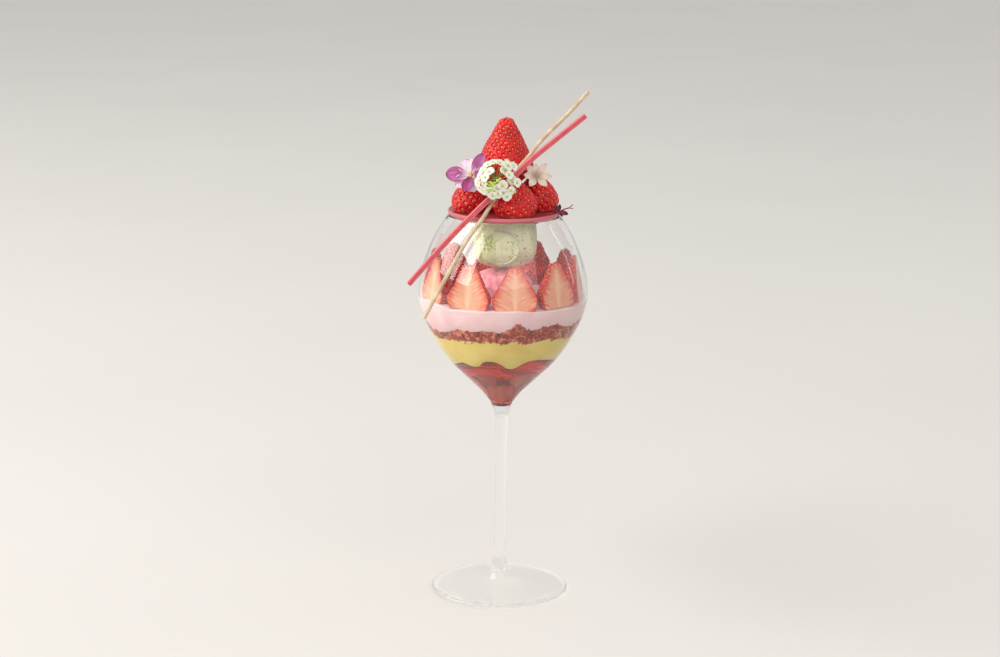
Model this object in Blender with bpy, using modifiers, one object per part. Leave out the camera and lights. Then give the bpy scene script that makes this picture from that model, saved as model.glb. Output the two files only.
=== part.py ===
"""Strawberry parfait in a stemmed balloon glass.

From the bottom up the glass holds dark red jelly, yellow cream, crumble and pink cream. Ten
strawberry halves stand on the pink cream with their cut faces against the glass, round a ball of
pink sorbet and a scoop of pistachio ice cream. A thin red disc lies on the rim and carries five
hulled strawberries, a viola, a head of small white flowers, a star flower, a red sprig and two
thin biscuit sticks.

Lengths are in millimetres and become metres when a mesh is made. +Z is up, the origin is the
middle of the foot's underside, and -Y is the front.
"""

import math
import random

import bmesh
import bpy
from mathutils import Matrix, Vector, noise

MM = 0.001
SEED = 7

# Glass
RIM_HEIGHT = 222.0
WALL = 1.2
BOWL_FLOOR = 111.0
FOOT_RADIUS = 40.0
FOOT_EDGE = 1.5
STEPS_ROUND = 40
WALL_STEP = 8.0
# Height and outer radius of the bowl and the stem, from the rim down
OUTSIDE = [
    (222.0, 31.7), (210.0, 39.2), (200.0, 43.7), (188.0, 47.5), (176.0, 48.5), (166.0, 46.6),
    (156.0, 42.3), (146.0, 36.6), (136.0, 29.0), (126.0, 18.8), (118.0, 10.8), (112.0, 6.3),
    (106.0, 4.2), (96.0, 3.7), (70.0, 3.05), (40.0, 3.1), (20.0, 3.7), (10.0, 5.2),
]
# Height and radius where the stem spreads into the foot
FOOT_TOP = [(6.6, 7.6), (4.6, 12.0), (3.0, 20.0), (2.1, 31.0), (1.7, 38.4)]

# Layers: the mean height of each boundary at the wall, and its waves
FIT_GAP = 0.45
LAYER_GAP = 0.3
JELLY_TOP = {"height": 141.3, "waves": [(2.2, 9, 190.0), (0.8, 1, 90.0)], "rough": 0.4}
YELLOW_TOP = {"height": 156.3, "waves": [(0.6, 11, 40.0), (0.6, 1, 90.0)], "rough": 0.8}
CRUMBLE_TOP = {"height": 163.0, "waves": [(1.3, 7, 13.0), (1.4, 1, 60.0)], "rough": 2.0}
PINK_TOP = {"height": 174.2, "waves": [(0.4, 10, 27.0)], "rough": 0.0}

# Strawberry halves
HALF_COUNT = 10
FIRST_HALF = 9.2
HALF_WIDTH = 26.0
HALF_HEIGHT = 25.5
HALF_DEPTH = 12.2
HALF_FACE = 45.0
HALF_LEAN = 0.15
HALF_BASE = 175.0

# Ices
SORBET_RADIUS = 17.5
SORBET_HEIGHT = 10.6
SORBET_CENTRE = (-0.6, 1.0, 180.4)
SORBET_BASE = 175.0
SCOOP_SIZE = (35.4, 33.0, 29.4)
SCOOP_CENTRE = (1.0, 0.0, 207.2)
SCOOP_POWER = 3.6

# Disc on the rim
DISC_RADIUS = 32.0
DISC_THICKNESS = 1.7
DISC_LIP = 0.8
DISC_BOTTOM = RIM_HEIGHT + 0.3
BERRY_BASE = DISC_BOTTOM + DISC_THICKNESS + 0.35

# Whole berries on the disc: name, x, y, width, height
WHOLE_BERRIES = [
    ("berry_left", -19.0, -2.4, 23.6, 19.8),
    ("berry_front", 6.2, -17.4, 25.4, 20.0),
    ("berry_right", 20.2, 5.0, 23.2, 20.4),
    ("berry_back", -3.4, 19.4, 24.2, 20.2),
]
BERRY_LEAN = 2.6
TOP_WIDTH = 32.0
TOP_HEIGHT = 37.6
TOP_BASE = 240.0

# A berry's half width along its height, both as fractions, from the cut base to the tip
DOME = [(0.0, 0.80), (0.12, 0.93), (0.3, 1.0), (0.55, 0.86), (0.78, 0.58), (0.93, 0.28), (1.0, 0.0)]
HEART = [(0.0, 0.86), (0.1, 0.96), (0.24, 1.0), (0.5, 0.78), (0.75, 0.47), (0.92, 0.24), (1.0, 0.0)]
SPIRE = [
    (0.0, 0.5), (0.12, 0.8), (0.28, 0.98), (0.43, 0.87), (0.56, 0.74), (0.7, 0.575),
    (0.83, 0.41), (0.91, 0.3), (0.97, 0.18), (1.0, 0.0),
]

# Biscuit sticks, by points along the middle of each, from the lower end
PINK_STICK_SIDE = 3.0
PINK_STICK_ROUTE = [
    (-52.5, -37.4, 188.3), (-38.2, -34.2, 204.7), (-22.9, -31.1, 221.2), (-9.0, -28.2, 234.8),
    (2.8, -25.6, 245.5), (13.4, -22.9, 255.8), (27.9, -18.9, 267.6), (44.4, -14.3, 280.6),
]
CREAM_STICK_WIDTH = 2.3
CREAM_STICK_ROUTE = [
    (-43.8, -40.5, 169.8), (-31.2, -39.4, 193.9), (-18.4, -34.9, 216.3), (-12.0, -31.9, 225.0),
    (-5.1, -24.7, 235.3), (1.4, -21.9, 244.2), (8.0, -19.8, 252.1), (13.2, -18.2, 257.9),
    (18.9, -16.0, 265.2), (36.0, -10.8, 282.4), (46.0, -8.0, 293.3),
]

# Flowers: each petal is direction in degrees, length, and how narrow it is
VIOLA_PLACE = (-19.4, -18.4, 247.4)
VIOLA_PETALS = [(65, 14.0, 2.2), (118, 10.5, 1.9), (182, 14.0, 1.8), (250, 10.2, 1.5), (350, 8.0, 1.8)]
STAR_PLACE = (18.2, -15.8, 247.0)
STAR_PETALS = [(48, 8.2, 3.4), (96, 7.0, 3.4), (150, 6.8, 3.4), (205, 6.6, 3.4), (262, 7.2, 3.4),
               (318, 8.0, 3.4), (5, 8.6, 3.4)]
PETAL_THICKNESS = 0.6

# Head of small white flowers: its middle, and each flower's place from there
HEAD_MIDDLE = (-5.8, -31.0, 246.6)
HEAD_STALK_END = (-8.0, -15.0, 240.6)
FLORET_RADIUS = 2.3
FLORETS = [
    (-3.4, 5.0, 7.4), (3.0, 4.6, 8.6), (10.4, 0.6, 7.4), (-2.4, 0.6, 4.2), (8.2, -4.6, 3.6),
    (-7.6, 3.4, 1.2), (-5.2, -0.4, -1.6), (-7.4, 1.0, -4.8), (4.6, -6.6, -1.8), (12.6, -4.4, -0.6),
    (9.2, -6.6, -4.6), (2.6, -7.4, -6.4), (-2.6, -4.4, -5.6), (7.2, -7.6, -7.8),
]

# Red sprig at the disc's right edge
SPRIG_PLACE = (31.2, -15.4, 226.3)
SPRIG_LEAVES = [(150, 5.0, 2.0), (215, 4.4, 2.2), (285, 5.2, 2.4), (20, 4.2, 2.6), (85, 4.6, 2.4)]
SPRIG_STEM = [(31.4, -15.9, 226.6), (34.6, -15.2, 228.0), (37.8, -14.6, 229.4)]


def clear_scene():
    for obj in list(bpy.data.objects):
        bpy.data.objects.remove(obj, do_unlink=True)


def finish_of(name, colour, roughness, glass=0.0):
    """A Principled material from a linear colour."""
    made = bpy.data.materials.new(name)
    made.use_nodes = True
    shader = made.node_tree.nodes["Principled BSDF"]
    shader.inputs["Base Color"].default_value = (*colour, 1.0)
    shader.inputs["Roughness"].default_value = roughness
    shader.inputs["Metallic"].default_value = 0.0
    shader.inputs["Transmission Weight"].default_value = glass
    made.diffuse_color = (*colour, 1.0)
    return made


def smooth_at(points, where):
    """Value at `where` on a smooth curve through (position, value) pairs, rising or falling."""
    pairs = sorted(points)
    last = len(pairs) - 1
    where = min(max(where, pairs[0][0]), pairs[last][0])
    index = min(next(i for i in range(last, -1, -1) if pairs[i][0] <= where), last - 1)

    def slope(i):
        low = pairs[max(i - 1, 0)]
        high = pairs[min(i + 1, last)]
        return (high[1] - low[1]) / (high[0] - low[0])

    start, end = pairs[index], pairs[index + 1]
    span = end[0] - start[0]
    t = (where - start[0]) / span
    return (start[1] * (2 * t ** 3 - 3 * t ** 2 + 1) + slope(index) * span * (t ** 3 - 2 * t ** 2 + t)
            + end[1] * (3 * t ** 2 - 2 * t ** 3) + slope(index + 1) * span * (t ** 3 - t ** 2))


def outside_radius(height):
    return smooth_at(OUTSIDE, height)


def inside_radius(height):
    """Inner radius of the bowl, with the wall's thickness measured square to the wall."""
    step = 0.5
    slope = (outside_radius(height + step) - outside_radius(height - step)) / (2 * step)
    return outside_radius(height) - WALL * math.sqrt(1 + slope * slope)


def wall_heights():
    """Heights of the bowl's profile points, closer together where the bowl narrows."""
    heights = [RIM_HEIGHT]
    while heights[-1] > BOWL_FLOOR + 3:
        heights.append(heights[-1] - (WALL_STEP if heights[-1] > 130 else WALL_STEP / 2))
    return heights


def bowl_inside():
    """Height and inner radius from the rounded floor of the bowl up to the rim."""
    heights = wall_heights()[::-1]
    narrow = inside_radius(heights[0])
    floor = [(BOWL_FLOOR - 0.8, 0.0), (BOWL_FLOOR - 0.3, narrow * 0.45), (BOWL_FLOOR + 1.2, narrow * 0.78)]
    return floor + [(height, inside_radius(height)) for height in heights]


def wall_inside(height):
    """Inner radius on the straight lines between the profile points."""
    profile = bowl_inside()
    for (low, low_radius), (high, high_radius) in zip(profile, profile[1:]):
        if low <= height <= high:
            share = (height - low) / (high - low)
            return low_radius * (1 - share) + high_radius * share
    return profile[-1][1]


def place(bm, name, finish, collection, smooth_angle=50):
    """Turn a millimetre bmesh into an object in metres, faces out."""
    bmesh.ops.recalc_face_normals(bm, faces=bm.faces)
    bm.transform(Matrix.Scale(MM, 4))
    mesh = bpy.data.meshes.new(name)
    bm.to_mesh(mesh)
    bm.free()
    mesh.shade_smooth()
    mesh.set_sharp_from_angle(angle=math.radians(smooth_angle))
    mesh.materials.append(finish)
    obj = bpy.data.objects.new(name, mesh)
    collection.objects.link(obj)
    return obj


def turned(name, profile, finish, collection):
    """A solid of revolution from (radius, height) pairs that run down its outer side."""
    mesh = bpy.data.meshes.new(name)
    points = [(radius * MM, 0.0, height * MM) for radius, height in profile]
    mesh.from_pydata(points, [(i, i + 1) for i in range(len(points) - 1)], [])
    mesh.materials.append(finish)
    obj = bpy.data.objects.new(name, mesh)
    collection.objects.link(obj)
    screw = obj.modifiers.new("Turn", "SCREW")
    screw.steps = STEPS_ROUND
    screw.render_steps = STEPS_ROUND
    screw.use_merge_vertices = True
    screw.merge_threshold = 0.00001
    screw.use_smooth_shade = True
    return obj


def make_glass(collection):
    """One turned piece: inside of the bowl, lip, outside, stem and foot."""
    inner = [(radius, height) for height, radius in bowl_inside()[:-1]]
    lip = [(inside_radius(RIM_HEIGHT), RIM_HEIGHT - 0.4), (outside_radius(RIM_HEIGHT) - WALL / 2, RIM_HEIGHT),
           (outside_radius(RIM_HEIGHT), RIM_HEIGHT - 0.4)]
    heights = wall_heights()
    outer = [(outside_radius(height), height) for height in heights[1:]]
    stem = [(radius, height) for height, radius in OUTSIDE if height < heights[-1] - 1]
    spread = [(radius, height) for height, radius in FOOT_TOP]
    edge = [(FOOT_RADIUS, FOOT_EDGE * 0.75), (FOOT_RADIUS, FOOT_EDGE * 0.25), (FOOT_RADIUS - 0.4, 0.0)]
    clear = finish_of("clear_glass", (0.9, 0.92, 0.93), 0.02, glass=1.0)
    return turned("glass", inner + lip + outer + stem + spread + edge + [(0.0, 0.0)], clear, collection)


def boundary(rule, azimuth, share):
    """Height of a layer's boundary. The waves show at the wall and fade to nothing at the axis."""
    wave = sum(size * math.cos(math.radians(count * (azimuth - crest)))
               for size, count, crest in rule["waves"])
    spot = Vector((math.cos(math.radians(azimuth)), math.sin(math.radians(azimuth)), rule["height"] / 50))
    wave += rule["rough"] * noise.noise(spot * 3.2)
    return rule["height"] + wave * share ** 2


def make_layer(name, below, above, finish, collection):
    """A layer between two boundaries, fitted to the inside of the bowl. Below None is the floor."""
    rings = [0.35, 0.7, 1.0]
    azimuths = [360.0 * i / STEPS_ROUND for i in range(STEPS_ROUND)]
    side = [0.33, 0.67] if below else [0.08, 0.22, 0.4, 0.6, 0.8]

    def low(azimuth, share):
        if below is None:
            return BOWL_FLOOR - 0.4 + 0.5 * share
        return boundary(below, azimuth, share) + LAYER_GAP / 2

    def high(azimuth, share):
        return boundary(above, azimuth, share) - LAYER_GAP / 2

    def fitted(height):
        return wall_inside(height) - FIT_GAP

    def point(azimuth, radius, height):
        angle = math.radians(azimuth)
        return radius * math.sin(angle), -radius * math.cos(angle), height

    bm = bmesh.new()

    def sheet(level, shares):
        """One face of the layer, from the axis to the wall, always split the same way."""
        centre = bm.verts.new((0, 0, level(0, 0)))
        rows = []
        for azimuth in azimuths:
            reach = fitted(level(azimuth, 1.0))
            rows.append([bm.verts.new(point(azimuth, reach * share, level(azimuth, share))) for share in shares])
        for here, there in zip(rows, rows[1:] + rows[:1]):
            bm.faces.new((centre, here[0], there[0]))
            for i in range(len(shares) - 1):
                bm.faces.new((here[i], here[i + 1], there[i + 1]))
                bm.faces.new((here[i], there[i + 1], there[i]))
        return [row[-1] for row in rows]

    edges = [sheet(low, rings if below else [1.0])]
    for share in side:
        ring = []
        for azimuth in azimuths:
            height = low(azimuth, 1.0) * (1 - share) + high(azimuth, 1.0) * share
            ring.append(bm.verts.new(point(azimuth, fitted(height), height)))
        edges.append(ring)
    edges.append(sheet(high, rings))
    for lower, upper in zip(edges, edges[1:]):
        for i in range(STEPS_ROUND):
            j = (i + 1) % STEPS_ROUND
            bm.faces.new((lower[i], upper[i], upper[j], lower[j]))
    return place(bm, name, finish, collection, smooth_angle=70)


def berry_mesh(width, height, shape, lean, around, along, depth=None):
    """A hulled strawberry, cut base down at z 0, that leans towards -X. A depth makes it a half."""
    bm = bmesh.new()
    bmesh.ops.create_uvsphere(bm, u_segments=around, v_segments=along, radius=1.0)
    across = width / 2
    for vert in bm.verts:
        rise = (vert.co.z + 1) / 2
        if rise < 0.06:
            rise = 0.0
        flat = math.hypot(vert.co.x, vert.co.y)
        if flat > 1e-4:
            reach = across * smooth_at(shape, rise) / flat
            vert.co.x *= reach
            vert.co.y *= reach
        vert.co.z = rise * height
    if depth:
        cut = bmesh.ops.bisect_plane(bm, geom=bm.verts[:] + bm.edges[:] + bm.faces[:], dist=1e-4,
                                     plane_co=(0, 0, 0), plane_no=(1, 0, 0), clear_outer=True)
        rim = [item for item in cut["geom_cut"] if isinstance(item, bmesh.types.BMEdge)]
        bmesh.ops.holes_fill(bm, edges=rim)
        for vert in bm.verts:
            vert.co.x *= depth / across
    for vert in bm.verts:
        vert.co.x -= lean * vert.co.z / height
    return bm


def make_halves(collection):
    """Ten halves round the glass, cut faces out, a little uneven in size."""
    flesh = finish_of("strawberry_flesh", (0.72, 0.3, 0.16), 0.35)
    dice = random.Random(SEED)
    for number in range(HALF_COUNT):
        azimuth = FIRST_HALF + number * 360.0 / HALF_COUNT + dice.uniform(-1.0, 1.0)
        height = HALF_HEIGHT * dice.uniform(0.95, 1.03)
        width = HALF_WIDTH * dice.uniform(0.94, 1.0)
        bm = berry_mesh(width, height, HEART, HALF_LEAN * height, 14, 9, depth=HALF_DEPTH)
        obj = place(bm, "half_%02d" % (number + 1), flesh, collection, smooth_angle=60)
        angle = math.radians(azimuth)
        obj.location = (HALF_FACE * math.sin(angle) * MM, -HALF_FACE * math.cos(angle) * MM, HALF_BASE * MM)
        obj.rotation_euler = (0, 0, angle - math.pi / 2)


def make_whole_berries(collection):
    """Four berries on the disc and one on top of them."""
    skin = finish_of("strawberry_skin", (0.56, 0.01, 0.02), 0.3)
    for name, x, y, width, height in WHOLE_BERRIES:
        obj = place(berry_mesh(width, height, DOME, BERRY_LEAN, 16, 10), name, skin, collection)
        obj.location = (x * MM, y * MM, BERRY_BASE * MM)
        obj.rotation_euler = (0, 0, math.atan2(y, x))
    top = place(berry_mesh(TOP_WIDTH, TOP_HEIGHT, SPIRE, -0.8, 18, 12), "berry_top", skin, collection)
    top.location = (0, 0, TOP_BASE * MM)


def make_sorbet(collection):
    """A low ball of sorbet with a flat base."""
    bm = bmesh.new()
    bmesh.ops.create_uvsphere(bm, u_segments=20, v_segments=11, radius=1.0)
    for vert in bm.verts:
        swell = 1 + 0.03 * noise.noise(vert.co * 2.5)
        vert.co = Vector((vert.co.x * SORBET_RADIUS, vert.co.y * SORBET_RADIUS, vert.co.z * SORBET_HEIGHT)) * swell
    base = SORBET_BASE - SORBET_CENTRE[2]
    cut = bmesh.ops.bisect_plane(bm, geom=bm.verts[:] + bm.edges[:] + bm.faces[:], dist=1e-4,
                                 plane_co=(0, 0, base), plane_no=(0, 0, -1), clear_outer=True)
    rim = [item for item in cut["geom_cut"] if isinstance(item, bmesh.types.BMEdge)]
    bmesh.ops.holes_fill(bm, edges=rim)
    obj = place(bm, "pink_sorbet", finish_of("pink_sorbet", (0.72, 0.28, 0.34), 0.45), collection)
    obj.location = [value * MM for value in SORBET_CENTRE]


def make_scoop(collection):
    """A squared scoop with rounded corners, one smooth swipe of the spatula across its front."""
    bm = bmesh.new()
    bmesh.ops.create_cube(bm, size=2.0)
    bmesh.ops.subdivide_edges(bm, edges=bm.edges[:], cuts=5, use_grid_fill=True)
    for vert in bm.verts:
        spot = vert.co.normalized()
        length = sum(abs(value) ** SCOOP_POWER for value in spot) ** (-1 / SCOOP_POWER)
        swipe = max(0.0, 1 - (spot - Vector((-0.45, -0.87, 0.1))).length / 0.75)
        swell = 1 + 0.03 * noise.noise(spot * 2.1) - 0.05 * swipe
        vert.co = Vector([spot[i] * length * swell * SCOOP_SIZE[i] / 2 for i in range(3)])
        vert.co.z = min(vert.co.z, SCOOP_SIZE[2] / 2)
    obj = place(bm, "pistachio_scoop", finish_of("pistachio_ice_cream", (0.56, 0.62, 0.35), 0.5), collection)
    obj.location = [value * MM for value in SCOOP_CENTRE]


def make_disc(collection):
    """A thin round plate of red chocolate with a slightly raised edge."""
    edge = DISC_BOTTOM + DISC_LIP
    profile = [
        (0.0, DISC_BOTTOM + DISC_THICKNESS), (DISC_RADIUS - 1.6, DISC_BOTTOM + DISC_THICKNESS),
        (DISC_RADIUS - 0.4, edge + DISC_THICKNESS), (DISC_RADIUS, edge + DISC_THICKNESS - 0.5),
        (DISC_RADIUS - 0.1, edge), (DISC_RADIUS - 0.6, DISC_BOTTOM), (0.0, DISC_BOTTOM),
    ]
    turned("red_disc", profile, finish_of("red_chocolate", (0.42, 0.06, 0.08), 0.4), collection)


def make_stick(name, route, width, square, finish, collection):
    """A thin stick along a smooth route, closed at both ends: square with its flats facing out, or round."""
    curve = bpy.data.curves.new(name, "CURVE")
    curve.dimensions = "3D"
    curve.resolution_u = 3
    curve.bevel_depth = width * MM * (math.sqrt(0.5) if square else 0.5)
    curve.bevel_resolution = 0 if square else 2
    curve.use_fill_caps = True
    spline = curve.splines.new("BEZIER")
    spline.bezier_points.add(len(route) - 1)
    for knot, spot in zip(spline.bezier_points, route):
        knot.co = Vector(spot) * MM
        knot.handle_left_type = "AUTO"
        knot.handle_right_type = "AUTO"
        knot.tilt = math.radians(45) if square else 0.0
    curve.materials.append(finish)
    collection.objects.link(bpy.data.objects.new(name, curve))


def petal_reach(petals, azimuth, heart):
    """Radius of a flower's outline: the longest petal in this direction, or the heart."""
    reach = heart
    for direction, length, narrow in petals:
        away = math.radians((azimuth - direction + 180) % 360 - 180) * narrow
        if abs(away) < math.pi / 2:
            reach = max(reach, length * math.cos(away) ** 0.7)
    return reach


def flower_sheet(petals, heart, cup, ripple, steps=48, thickness=PETAL_THICKNESS):
    """A flower as one thin wavy sheet with both faces split alike, facing +Z."""
    bm = bmesh.new()
    shares = [0.3, 0.65, 1.0]

    def spot(azimuth, share, side):
        reach = petal_reach(petals, azimuth, heart) * share
        angle = math.radians(azimuth)
        lift = cup * reach * reach / 14 + ripple * share * math.sin(angle * 5 + 1) + side * thickness / 2
        return reach * math.cos(angle), reach * math.sin(angle), lift

    azimuths = [360.0 * i / steps for i in range(steps)]
    faces = []
    for side in (1, -1):
        centre = bm.verts.new((0, 0, side * thickness / 2))
        rows = [[bm.verts.new(spot(azimuth, share, side)) for share in shares] for azimuth in azimuths]
        for here, there in zip(rows, rows[1:] + rows[:1]):
            bm.faces.new((centre, here[0], there[0]))
            for i in range(len(shares) - 1):
                bm.faces.new((here[i], here[i + 1], there[i + 1]))
                bm.faces.new((here[i], there[i + 1], there[i]))
        faces.append(rows)
    for i in range(steps):
        j = (i + 1) % steps
        bm.faces.new((faces[0][i][-1], faces[1][i][-1], faces[1][j][-1]))
        bm.faces.new((faces[0][i][-1], faces[1][j][-1], faces[0][j][-1]))
    return bm


def make_flowers(collection):
    viola = place(flower_sheet(VIOLA_PETALS, 1.6, 0.25, 0.35), "viola",
                  finish_of("viola_petal", (0.42, 0.12, 0.5), 0.6), collection)
    viola.location = [value * MM for value in VIOLA_PLACE]
    viola.rotation_euler = (math.radians(72), 0, math.radians(-14))
    star = place(flower_sheet(STAR_PETALS, 1.5, 0.3, 0.3, steps=28), "star_flower",
                 finish_of("star_petal", (0.55, 0.46, 0.36), 0.6), collection)
    star.location = [value * MM for value in STAR_PLACE]
    star.rotation_euler = (math.radians(72), 0, math.radians(16))


def rod(start, end, radius, sides):
    """A bmesh rod between two points."""
    bm = bmesh.new()
    start, end = Vector(start), Vector(end)
    along = end - start
    bmesh.ops.create_cone(bm, cap_ends=True, segments=sides, radius1=radius, radius2=radius, depth=along.length)
    turn = along.to_track_quat("Z", "Y").to_matrix().to_4x4()
    bm.transform(Matrix.Translation((start + end) / 2) @ turn)
    return bm


def floret(middle, facing):
    """A small four-petalled flower as a lobed button."""
    bm = bmesh.new()
    bmesh.ops.create_cone(bm, cap_ends=True, segments=8, radius1=FLORET_RADIUS * 0.6, radius2=FLORET_RADIUS,
                          depth=1.0)
    for vert in bm.verts:
        step = round(math.degrees(math.atan2(vert.co.y, vert.co.x)) / 45)
        if step % 2:
            vert.co.x *= 0.66
            vert.co.y *= 0.66
    turn = Vector(facing).to_track_quat("Z", "Y").to_matrix().to_4x4()
    bm.transform(Matrix.Translation(middle) @ turn)
    return bm


def fuse(name, shapes, finish, collection):
    """Join closed shapes into one body."""
    group = bpy.data.collections.new(name + "_shapes")
    pieces = [place(bm, name + "_shape", finish, group) for bm in shapes]
    body = bpy.data.objects.new(name, pieces[0].data.copy())
    collection.objects.link(body)
    group.objects.unlink(pieces[0])
    union = body.modifiers.new("Join", "BOOLEAN")
    union.operation = "UNION"
    union.operand_type = "COLLECTION"
    union.collection = group
    union.solver = "EXACT"
    bpy.context.view_layer.update()
    joined = bpy.data.meshes.new_from_object(body.evaluated_get(bpy.context.evaluated_depsgraph_get()))
    body.modifiers.clear()
    body.data = joined
    for piece in pieces:
        bpy.data.objects.remove(piece, do_unlink=True)
    bpy.data.collections.remove(group)
    return body


def make_flower_head(collection):
    """White flowers on green stalks that spread from one small knot."""
    knot = bmesh.new()
    bmesh.ops.create_icosphere(knot, subdivisions=1, radius=1.8)
    knot.transform(Matrix.Translation(HEAD_MIDDLE))
    middle = Vector(HEAD_MIDDLE)
    shapes = [knot, rod(middle, HEAD_STALK_END, 0.7, 6)]
    for offset in FLORETS:
        end = middle + Vector(offset)
        facing = Vector(offset).normalized() + Vector((0, -0.9, 0.1))
        shapes.append(rod(middle, end, 0.55, 5))
        shapes.append(floret(end, facing))
    fuse("flower_head", shapes, finish_of("white_petal", (0.9, 0.9, 0.84), 0.6), collection)


def make_sprig(collection):
    """A curled dark red leaf with a thin stalk that sticks out past the disc."""
    leaf = flower_sheet(SPRIG_LEAVES, 1.4, 0.5, 0.4, steps=24)
    leaf.transform(Matrix.Translation(SPRIG_PLACE) @ Matrix.Rotation(math.radians(60), 4, "X"))
    shapes = [leaf]
    shapes += [rod(start, end, 0.5, 6) for start, end in zip(SPRIG_STEM, SPRIG_STEM[1:])]
    fuse("red_sprig", shapes, finish_of("red_leaf", (0.2, 0.01, 0.05), 0.5), collection)


def main():
    clear_scene()
    parts = bpy.data.collections.new("parfait")
    bpy.context.scene.collection.children.link(parts)

    make_glass(parts)
    make_layer("jelly", None, JELLY_TOP, finish_of("jelly", (0.3, 0.01, 0.01), 0.1), parts)
    make_layer("yellow_cream", JELLY_TOP, YELLOW_TOP, finish_of("yellow_cream", (0.66, 0.58, 0.16), 0.5), parts)
    make_layer("crumble", YELLOW_TOP, CRUMBLE_TOP, finish_of("crumble", (0.3, 0.09, 0.07), 0.9), parts)
    make_layer("pink_cream", CRUMBLE_TOP, PINK_TOP, finish_of("pink_cream", (0.8, 0.6, 0.64), 0.5), parts)
    make_halves(parts)
    make_sorbet(parts)
    make_scoop(parts)
    make_disc(parts)
    make_whole_berries(parts)
    make_flowers(parts)
    make_flower_head(parts)
    make_sprig(parts)
    make_stick("pink_stick", PINK_STICK_ROUTE, PINK_STICK_SIDE, True,
               finish_of("pink_biscuit", (0.5, 0.1, 0.13), 0.6), parts)
    make_stick("cream_stick", CREAM_STICK_ROUTE, CREAM_STICK_WIDTH, False,
               finish_of("cream_biscuit", (0.62, 0.52, 0.38), 0.7), parts)


main()
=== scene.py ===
# %% [markdown]
# # A strawberry parfait in a balloon glass
# This lesson dresses a finished solid model. The solids say where every piece is; each cell makes one
# piece again with the surface that the real one has. Almost every piece here is a pile of rings of
# points with a skin pulled over them, because glass, cream, ice cream and berries are all round.

# %% Load the solids
import math
import random

import bmesh
import bpy
import numpy as np
from mathutils import Matrix, Vector, kdtree, noise


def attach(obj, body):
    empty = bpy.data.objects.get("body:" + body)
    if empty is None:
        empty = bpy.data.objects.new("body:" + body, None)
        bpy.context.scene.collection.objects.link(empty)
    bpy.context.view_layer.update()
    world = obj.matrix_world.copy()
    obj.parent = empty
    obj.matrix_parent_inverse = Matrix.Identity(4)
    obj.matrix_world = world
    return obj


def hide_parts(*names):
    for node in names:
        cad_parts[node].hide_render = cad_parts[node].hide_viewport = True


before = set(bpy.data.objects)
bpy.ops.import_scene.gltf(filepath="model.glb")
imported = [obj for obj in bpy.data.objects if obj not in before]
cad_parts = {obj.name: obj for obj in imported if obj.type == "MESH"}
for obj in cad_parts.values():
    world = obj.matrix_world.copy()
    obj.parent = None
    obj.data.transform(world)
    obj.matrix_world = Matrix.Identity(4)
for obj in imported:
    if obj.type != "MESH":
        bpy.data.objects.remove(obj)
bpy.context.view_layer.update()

MM = 0.001

# %% [markdown]
# ## Camera, floor and light
# A long lens stands 1.4 m away and looks a little down, as for a menu photograph. The set is a pale
# floor with no edge in sight. One large softbox on the left draws the broad white reflection on the
# bowl, a thin weak one behind on the right draws a bright line, and a very large weak one in front
# fills the shadows without a reflection that stands out.

# %% Camera
CAMERA_PLACE = (0.0, -1.4005, 0.4676)
LOOK_DOWN = math.radians(12.57)
LOOK_LEFT = math.radians(0.06)
CAMERA_ROLL = math.radians(0.77)


def put_in_scene(name, data):
    """An object for a camera, a light or a mesh, linked to the scene."""
    made = bpy.data.objects.new(name, data)
    bpy.context.scene.collection.objects.link(made)
    return made


camera_data = bpy.data.cameras.new("menu_camera")
camera_data.lens = 89.9
camera_data.sensor_fit = "HORIZONTAL"
camera_data.sensor_width = 36.0
camera = put_in_scene("menu_camera", camera_data)
camera.matrix_world = (Matrix.Translation(CAMERA_PLACE) @ Matrix.Rotation(LOOK_LEFT, 4, "Z")
                       @ Matrix.Rotation(math.pi / 2 - LOOK_DOWN, 4, "X")
                       @ Matrix.Rotation(CAMERA_ROLL, 4, "Z"))
bpy.context.scene.camera = camera
bpy.context.scene.view_settings.view_transform = "Standard"

# %% [markdown]
# ## Helpers for colours
# Colours are written as the sRGB hex values a maker would read off a chart, and one function turns them
# to the linear values that shaders use. One adds a node with its settings and its links, for shaders
# and for Geometry Nodes alike. One paints a surface as a decorator does: a ground colour, then coats
# that each follow a grain or a number kept on the mesh, then a relief.

# %% Helpers for colours and nodes


def linear(colour):
    """Linear RGBA of an sRGB hex colour."""
    parts = [int(colour[i:i + 2], 16) / 255 for i in (1, 3, 5)]
    return (*(c / 12.92 if c <= 0.04045 else ((c + 0.055) / 1.055) ** 2.4 for c in parts), 1.0)


def add(tree, kind, inputs=None, **settings):
    """Add a node. A socket given as an input is linked, anything else is set as its value."""
    node = tree.nodes.new(kind)
    for name, value in settings.items():
        setattr(node, name, value)
    for key, value in (inputs or {}).items():
        if isinstance(value, bpy.types.NodeSocket):
            tree.links.new(value, node.inputs[key])
        else:
            node.inputs[key].default_value = value
    return node


def start_material(name, **values):
    """A Principled material. Its constants are set on the shader's own sockets."""
    made = bpy.data.materials.new(name)
    made.use_nodes = True
    shader = made.node_tree.nodes["Principled BSDF"]
    for label, value in values.items():
        value = linear(value) if isinstance(value, str) else value
        shader.inputs[label.replace("_", " ")].default_value = value
    return made, made.node_tree, shader


def grain(tree, size_mm, detail=4.0, rough=0.55, where=None, stretch=(1, 1, 1)):
    """Noise whose lumps are about size_mm across, on Object coordinates unless told otherwise."""
    where = where or add(tree, "ShaderNodeTexCoord").outputs["Object"]
    scale = [s / (size_mm * MM) for s in stretch]
    scaled = add(tree, "ShaderNodeMapping", {"Vector": where, "Scale": scale})
    return add(tree, "ShaderNodeTexNoise", {"Vector": scaled.outputs[0], "Scale": 1.0, "Detail": detail,
                                            "Roughness": rough}).outputs[0]


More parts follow.
